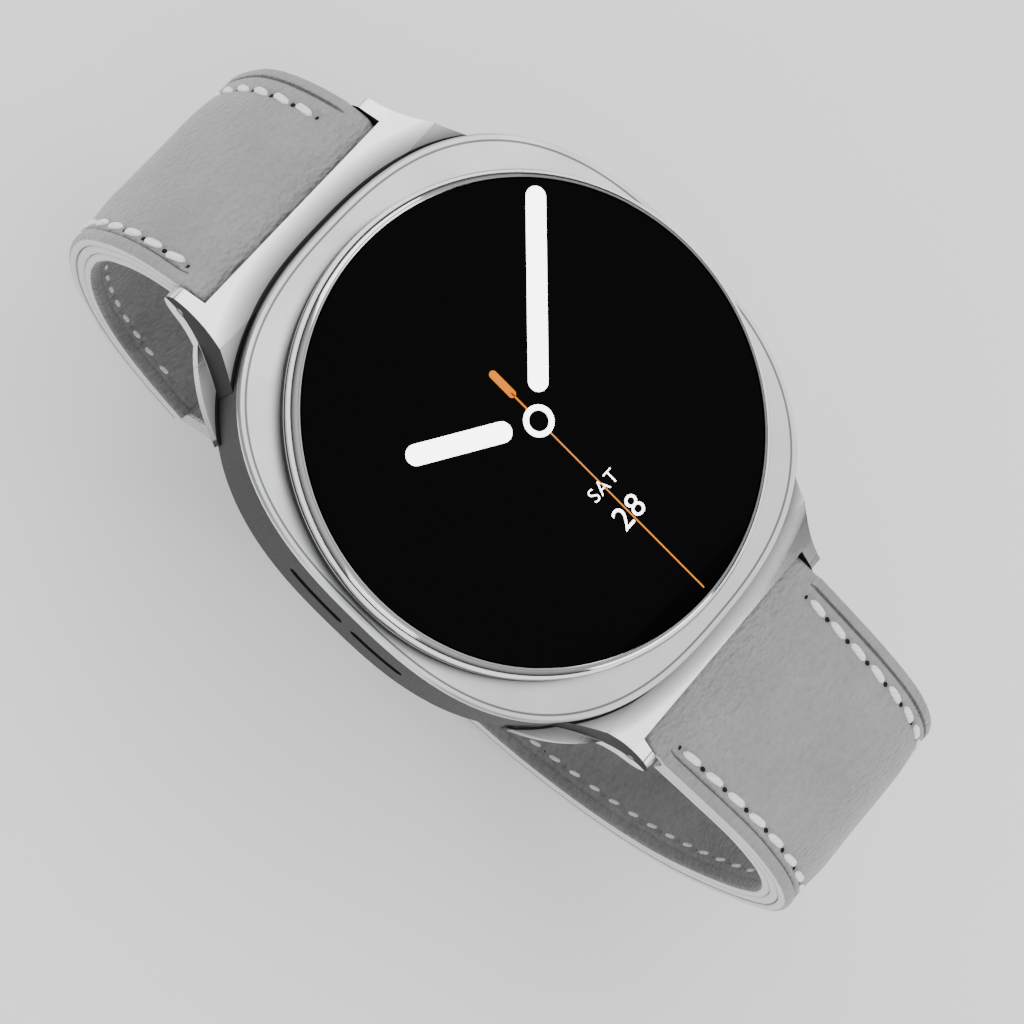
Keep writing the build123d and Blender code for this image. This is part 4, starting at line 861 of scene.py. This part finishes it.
def thread_stitch(place, heading, out, x, height, length, radius, slant, verts, faces):
    """One plump stitch whose ends dive into its holes."""
    rings = STITCH_RINGS
    around = STITCH_SIDES
    base = len(verts)
    turn = radians(slant)
    for i in range(rings):
        u = -1 + 2 * i / (rings - 1)
        thick = sqrt(max(0.0, 1 - abs(u) ** STITCH_END_POWER))
        lift = height - STITCH_END_DIP * radius * abs(u) ** 3
        for k in range(around):
            angle = 2 * pi * k / around
            across = radius * thick * cos(angle)
            rise = STITCH_FLATNESS * radius * thick * sin(angle)
            along = u * length / 2
            dx = across * cos(turn) + along * sin(turn)
            ds = along * cos(turn) - across * sin(turn)
            spot = place + heading * ds + out * (lift + rise)
            verts.append((x + dx, spot[0], spot[1]))
    for i in range(rings - 1):
        for k in range(around):
            a = base + i * around
            b = a + around
            following = (k + 1) % around
            faces.append((a + k, a + following, b + following, b + k))


def hole_spot(place, heading, out, x, height, radius, verts, faces):
    """Painted shade of the hole at the end of a stitch: a closed shallow black dome in its dimple."""
    around = HOLE_SIDES
    base = len(verts)
    for share, rise in HOLE_DOME_RINGS:
        for k in range(around):
            angle = 2 * pi * k / around
            spot = place + heading * (radius * share * sin(angle)) + out * (height + rise)
            verts.append((x + radius * share * cos(angle), spot[0], spot[1]))
    spot = place + out * (height + HOLE_DOME_TOP)
    verts.append((x, spot[0], spot[1]))
    top = len(verts) - 1
    for k in range(around):
        following = (k + 1) % around
        faces.append((base + k, base + following, base + around + following, base + around + k))
        faces.append((base + around + k, base + around + following, top))
    faces.append(tuple(base + k for k in reversed(range(around))))


def stitch_pieces(half, body):
    """Both rows of stitches on the face and on the lining, and the painted shade of their holes."""
    for where in ("face", "lining"):
        on_face = where == "face"
        thread_verts, thread_faces, hole_verts, hole_faces = [], [], [], []
        for row in (1, -1):
            marks = stitch_marks(half, row)
            for k, mark in enumerate(marks):
                place, heading, out, width, thickness = half.at(mark)
                x = row * (width - half.inset(row))
                if on_face:
                    level, outward = face_height(half, x, width, mark) + HOLE_LIFT, out
                else:
                    level, outward = thickness - LINING_HOLE_SINK, -out
                size = HOLE_RADIUS
                if k == 0:
                    size = HOLE_RADIUS * FIRST_HOLE_SHARE
                    place = place - heading * FIRST_HOLE_BACK
                hole_spot(place, heading, outward, x, level, size, hole_verts, hole_faces)
                if k + 1 == len(marks):
                    continue
                place, heading, out, width, thickness = half.at(mark + STITCH_PITCH / 2)
                x = row * (width - half.inset(row))
                sway = STITCH_SWAY * noise.noise(Vector((mark, row * 3.0, half.side * 5.0)))
                slant = STITCH_SLANT * row * half.side + sway
                if on_face:
                    thread_stitch(
                        place, heading, out, x, -FACE_STITCH_SINK, STITCH_LENGTH, STITCH_RADIUS, slant,
                        thread_verts, thread_faces,
                    )
                else:
                    thread_stitch(
                        place, heading, -out, x, thickness - LINING_STITCH_SINK,
                        STITCH_LENGTH * LINING_STITCH_LENGTH_SHARE,
                        STITCH_RADIUS * LINING_STITCH_SHARE, -slant, thread_verts, thread_faces,
                    )
        make_piece(
            f"{half.prefix}_{where}_stitches", thread_verts, thread_faces,
            [THREAD if on_face else SHADED_THREAD], body,
        )
        make_piece(f"{half.prefix}_{where}_holes", hole_verts, hole_faces, [HOLE_SHADE], body)


WINDOW_X = (-7.6, -4.2)
WINDOW_Y_SHIFT = 0.3
WINDOW_HALF_LENGTH = 1.2
WINDOW_BOTTOM = -1.6


def cut_release_window(piece, half):
    """Opens the loop leather round the release knob of the spring bar."""
    y = half.side * (BAR_Y + WINDOW_Y_SHIFT)
    verts = []
    for x in WINDOW_X:
        for dy in (-WINDOW_HALF_LENGTH, WINDOW_HALF_LENGTH):
            for z in (WINDOW_BOTTOM, BAR_Z):
                verts.append((x * MM, (y + dy) * MM, z * MM))
    faces = [(0, 1, 3, 2), (4, 6, 7, 5), (0, 4, 5, 1), (2, 3, 7, 6), (0, 2, 6, 4), (1, 5, 7, 3)]
    mesh = bpy.data.meshes.new("window_tool")
    mesh.from_pydata(verts, [], faces)
    tool = bpy.data.objects.new("window_tool", mesh)
    bpy.context.scene.collection.objects.link(tool)
    cut = piece.modifiers.new("window", "BOOLEAN")
    cut.operation = "DIFFERENCE"
    cut.solver = "EXACT"
    cut.object = tool
    graph = bpy.context.evaluated_depsgraph_get()
    cut_mesh = bpy.data.meshes.new_from_object(piece.evaluated_get(graph))
    piece.modifiers.clear()
    piece.data = cut_mesh
    bpy.data.objects.remove(tool)


def build_strap(half):
    """The three layers of one strap half, and its stitches."""
    body = f"{half.prefix}_strap"
    crease = (LOOP_STEPS + round(RELIEF_START / STATION_STEP), groove_columns())
    face = grid_piece(
        f"{half.prefix}_face_leather", half, face_rows(half),
        [FACE_LEATHER, EDGE, CREASE_LEATHER], 1, body, crease,
    )
    cut_release_window(face, half)
    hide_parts(f"{half.prefix}_strap_leather")
    core = grid_piece(
        f"{half.prefix}_core", half, core_rows(half), [EDGE], 0, body,
    )
    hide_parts(f"{half.prefix}_strap_padding")
    lining = grid_piece(
        f"{half.prefix}_lining_leather", half, lining_rows(half),
        [EDGE, LINING_LEATHER], 0, body,
    )
    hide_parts(f"{half.prefix}_strap_lining")
    stitch_pieces(half, body)


# =====================================================================
# Watch face
# =====================================================================

FACE_Z = DISPLAY_TOP + 0.01
PRISM_BASE = 0.02
LETTER_LIFT = 0.01
LETTER_HALF_DEPTH = 0.01
LETTER_SIZE = 1.38  # font size over the height of a capital
LETTER_SPACING = 1.08
LETTER_THINNING = 0.02
HAND_WIDTH = 1.75
WHITE = lit("lit_white", (1.0, 1.0, 1.0), 5.0)
ORANGE = lit("lit_orange", (0.8, 0.2, 0.0), 0.15)
PALE_ORANGE = lit("lit_pale_orange", (0.8, 0.24, 0.03), 0.15)

# name, both tips, width, steps in each round end, material, height over the face
HANDS = (
    ("minute_hand", (1.72, 1.6), (14.05, 13.05), HAND_WIDTH, 16, WHITE, 0.01),
    ("hour_hand", (-2.15, 1.15), (-10.1, 5.95), HAND_WIDTH, 16, WHITE, 0.01),
    ("second_hand", (0, -1.2), (0, -19.3), 0.11, 3, PALE_ORANGE, 0.03),
    ("second_hand_stem", (0, 1.2), (0, 3.2), 0.14, 3, ORANGE, 0.03),
    ("second_hand_tail", (0, 2.75), (0, 5.6), 0.68, 16, ORANGE, 0.03),
)
HUB_RADIUS = 1.33
HUB_HOLE_RADIUS = 0.86
HUB_LIFT = 0.04

# name, text, height of a capital, distance from the middle towards 12 o'clock
WORDS = (("day_number", "28", 2.05, -10.55), ("day_name", "SAT", 1.25, -7.5))


def prism(name, outline, hole, material, lift):
    """A thin lit shape on the display, with an optional hole."""
    low, high = FACE_Z - PRISM_BASE, FACE_Z + lift
    count = len(outline)
    verts = [(x, y, low) for x, y in outline] + [(x, y, high) for x, y in outline]
    faces = [(k, (k + 1) % count, count + (k + 1) % count, count + k) for k in range(count)]
    if hole is None:
        faces.append(tuple(count + k for k in range(count)))
        faces.append(tuple(reversed(range(count))))
    else:
        start = len(verts)
        verts += [(x, y, low) for x, y in hole] + [(x, y, high) for x, y in hole]
        for k in range(count):
            following = (k + 1) % count
            faces.append((start + following, start + k, start + count + k, start + count + following))
            faces.append((count + k, count + following, start + count + following, start + count + k))
            faces.append((following, k, start + k, start + following))
    return make_piece(name, verts, faces, [material], "case", smooth=False)


def capsule(start, end, width, steps):
    """Outline of a bar with round ends; start and end are its tips."""
    a, b = np.array(start, float), np.array(end, float)
    along = (b - a) / np.hypot(*(b - a))
    a, b = a + along * width / 2, b - along * width / 2
    base = atan2(along[1], along[0])
    outline = []
    for centre, first in ((b, base - pi / 2), (a, base + pi / 2)):
        for k in range(steps + 1):
            angle = first + pi * k / steps
            outline.append((centre[0] + width / 2 * cos(angle), centre[1] + width / 2 * sin(angle)))
    return outline


def circle(radius, count=64):
    """Outline of a circle round the middle of the watch."""
    return [(radius * cos(2 * pi * k / count), radius * sin(2 * pi * k / count)) for k in range(count)]


def word(name, text, height, y):
    """White characters centred on the 6 o'clock line."""
    curve = bpy.data.curves.new(name + "_curve", "FONT")
    curve.body = text
    curve.align_x = "CENTER"
    curve.align_y = "CENTER"
    curve.size = LETTER_SIZE * height * MM
    curve.extrude = LETTER_HALF_DEPTH * MM
    curve.space_character = LETTER_SPACING
    curve.offset = -LETTER_THINNING * MM
    letters = bpy.data.objects.new(name + "_curve", curve)
    bpy.context.scene.collection.objects.link(letters)
    graph = bpy.context.evaluated_depsgraph_get()
    mesh = bpy.data.meshes.new_from_object(letters.evaluated_get(graph))
    bpy.data.objects.remove(letters)
    mesh.transform(Matrix.Translation((0, y * MM, (FACE_Z + LETTER_LIFT) * MM)))
    mesh.materials.clear()
    mesh.materials.append(WHITE)
    piece = bpy.data.objects.new(name, mesh)
    bpy.context.scene.collection.objects.link(piece)
    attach(piece, "case")


def build_face():
    """Hands, hub and the generic day and date."""
    for name, start, end, width, steps, material, lift in HANDS:
        prism(name, capsule(start, end, width, steps), None, material, lift)
    prism("hub", circle(HUB_RADIUS), circle(HUB_HOLE_RADIUS), WHITE, HUB_LIFT)
    for name, text, height, y in WORDS:
        word(name, text, height, y)


# =====================================================================
# Studio
# =====================================================================

FLOOR_REACH = 1500
FLOOR_GAP = 0.02
LENS = 113.99
SENSOR_WIDTH = 36
EVEN_SKY = 1.4

# brightness of the surroundings in reflections, by the sine of the elevation
SKY_LEVELS = ((0.0, 0.03), (0.12, 0.05), (0.3, 0.2), (0.6, 0.5), (1.0, 0.7))

# name, direction from the watch, distance, size, radiance
SOFT_BOXES = (
    ("key_light", (0.30, 0.80, 0.52), 560, (380, 260), 2.6),
    ("top_light", (0.36, 0.0, 0.93), 620, (320, 320), 1.4),
    ("low_light", (0.05, -0.96, 0.20), 520, (300, 150), 2.6),
    ("side_light", (-0.95, -0.2, 0.42), 560, (260, 260), 1.6),
)

CAMERA_PLACE = (-88.151, 41.529, 252.136)
CAMERA_RIGHT = (0.63055, -0.69666, 0.34200)
CAMERA_UP = (0.70987, 0.69603, 0.10922)
CAMERA_BACK = (-0.31384, 0.17347, 0.93350)


def area_light(name, place, target, size, power):
    """A soft box at a place in millimetres that faces a target."""
    light = bpy.data.lights.new(name, "AREA")
    light.shape = "RECTANGLE"
    light.size = size[0] * MM
    light.size_y = size[1] * MM
    light.energy = power
    lamp = bpy.data.objects.new(name, light)
    lamp.location = Vector(place) * MM
    aim = (Vector(target) - Vector(place)) * MM
    lamp.rotation_euler = aim.to_track_quat("-Z", "Y").to_euler()
    bpy.context.scene.collection.objects.link(lamp)


def build_studio():
    """Floor, surroundings and soft boxes."""
    mesh = bpy.data.meshes.new("studio_floor")
    reach = FLOOR_REACH * MM
    level = (FLOOR_Z - FLOOR_GAP) * MM
    corners = [(-reach, -reach, level), (reach, -reach, level), (reach, reach, level), (-reach, reach, level)]
    mesh.from_pydata(corners, [], [(0, 1, 2, 3)])
    mesh.materials.append(floor_paint())
    floor = bpy.data.objects.new("studio_floor", mesh)
    bpy.context.scene.collection.objects.link(floor)
    world = bpy.data.worlds.new("studio")
    bpy.context.scene.world = world
    world.use_nodes = True
    tree = world.node_tree
    ground = tree.nodes["Background"]
    place = tree.nodes.new("ShaderNodeTexCoord")
    split = tree.nodes.new("ShaderNodeSeparateXYZ")
    tree.links.new(place.outputs["Generated"], split.inputs["Vector"])
    ramp = tree.nodes.new("ShaderNodeValToRGB")
    tree.links.new(split.outputs["Z"], ramp.inputs["Fac"])
    ramp.color_ramp.elements[0].position = 0.0
    ramp.color_ramp.elements[0].color = (*grey(SKY_LEVELS[0][1]), 1)
    ramp.color_ramp.elements[1].position = 1.0
    ramp.color_ramp.elements[1].color = (*grey(SKY_LEVELS[-1][1]), 1)
    for height, level in SKY_LEVELS[1:-1]:
        ramp.color_ramp.elements.new(height).color = (*grey(level), 1)
    # polished metal sees the graded sky, everything else an even one
    ray = tree.nodes.new("ShaderNodeLightPath")
    mix = tree.nodes.new("ShaderNodeMix")
    mix.data_type = "RGBA"
    tree.links.new(ray.outputs["Is Glossy Ray"], mix.inputs["Factor"])
    mix.inputs["A"].default_value = (*grey(EVEN_SKY), 1)
    tree.links.new(ramp.outputs["Color"], mix.inputs["B"])
    tree.links.new(mix.outputs["Result"], ground.inputs["Color"])
    for name, direction, distance, size, radiance in SOFT_BOXES:
        place = Vector(direction).normalized() * distance
        power = radiance * pi * size[0] * size[1] * MM * MM
        area_light(name, place, (0, 0, 0), size, power)


def build_camera():
    """The camera at the photograph's viewing angle."""
    data = bpy.data.cameras.new("camera")
    data.lens = LENS
    data.sensor_width = SENSOR_WIDTH
    camera = bpy.data.objects.new("camera", data)
    turn = Matrix((CAMERA_RIGHT, CAMERA_UP, CAMERA_BACK)).transposed()
    camera.matrix_world = Matrix.Translation(Vector(CAMERA_PLACE) * MM) @ turn.to_4x4()
    bpy.context.scene.collection.objects.link(camera)
    bpy.context.scene.camera = camera


build_strap(
    StrapHalf(
        "upper", 1, UPPER_LINE, UPPER_ENDS, UPPER_EAR_HALF_WIDTH, UPPER_STITCH_INSETS, UPPER_FIRST_HOLES
    )
)
build_strap(
    StrapHalf(
        "lower", -1, LOWER_LINE, LOWER_ENDS, LOWER_EAR_HALF_WIDTH, LOWER_STITCH_INSETS, LOWER_FIRST_HOLES
    )
)
paint_nodes()
build_face()
build_studio()
build_camera()
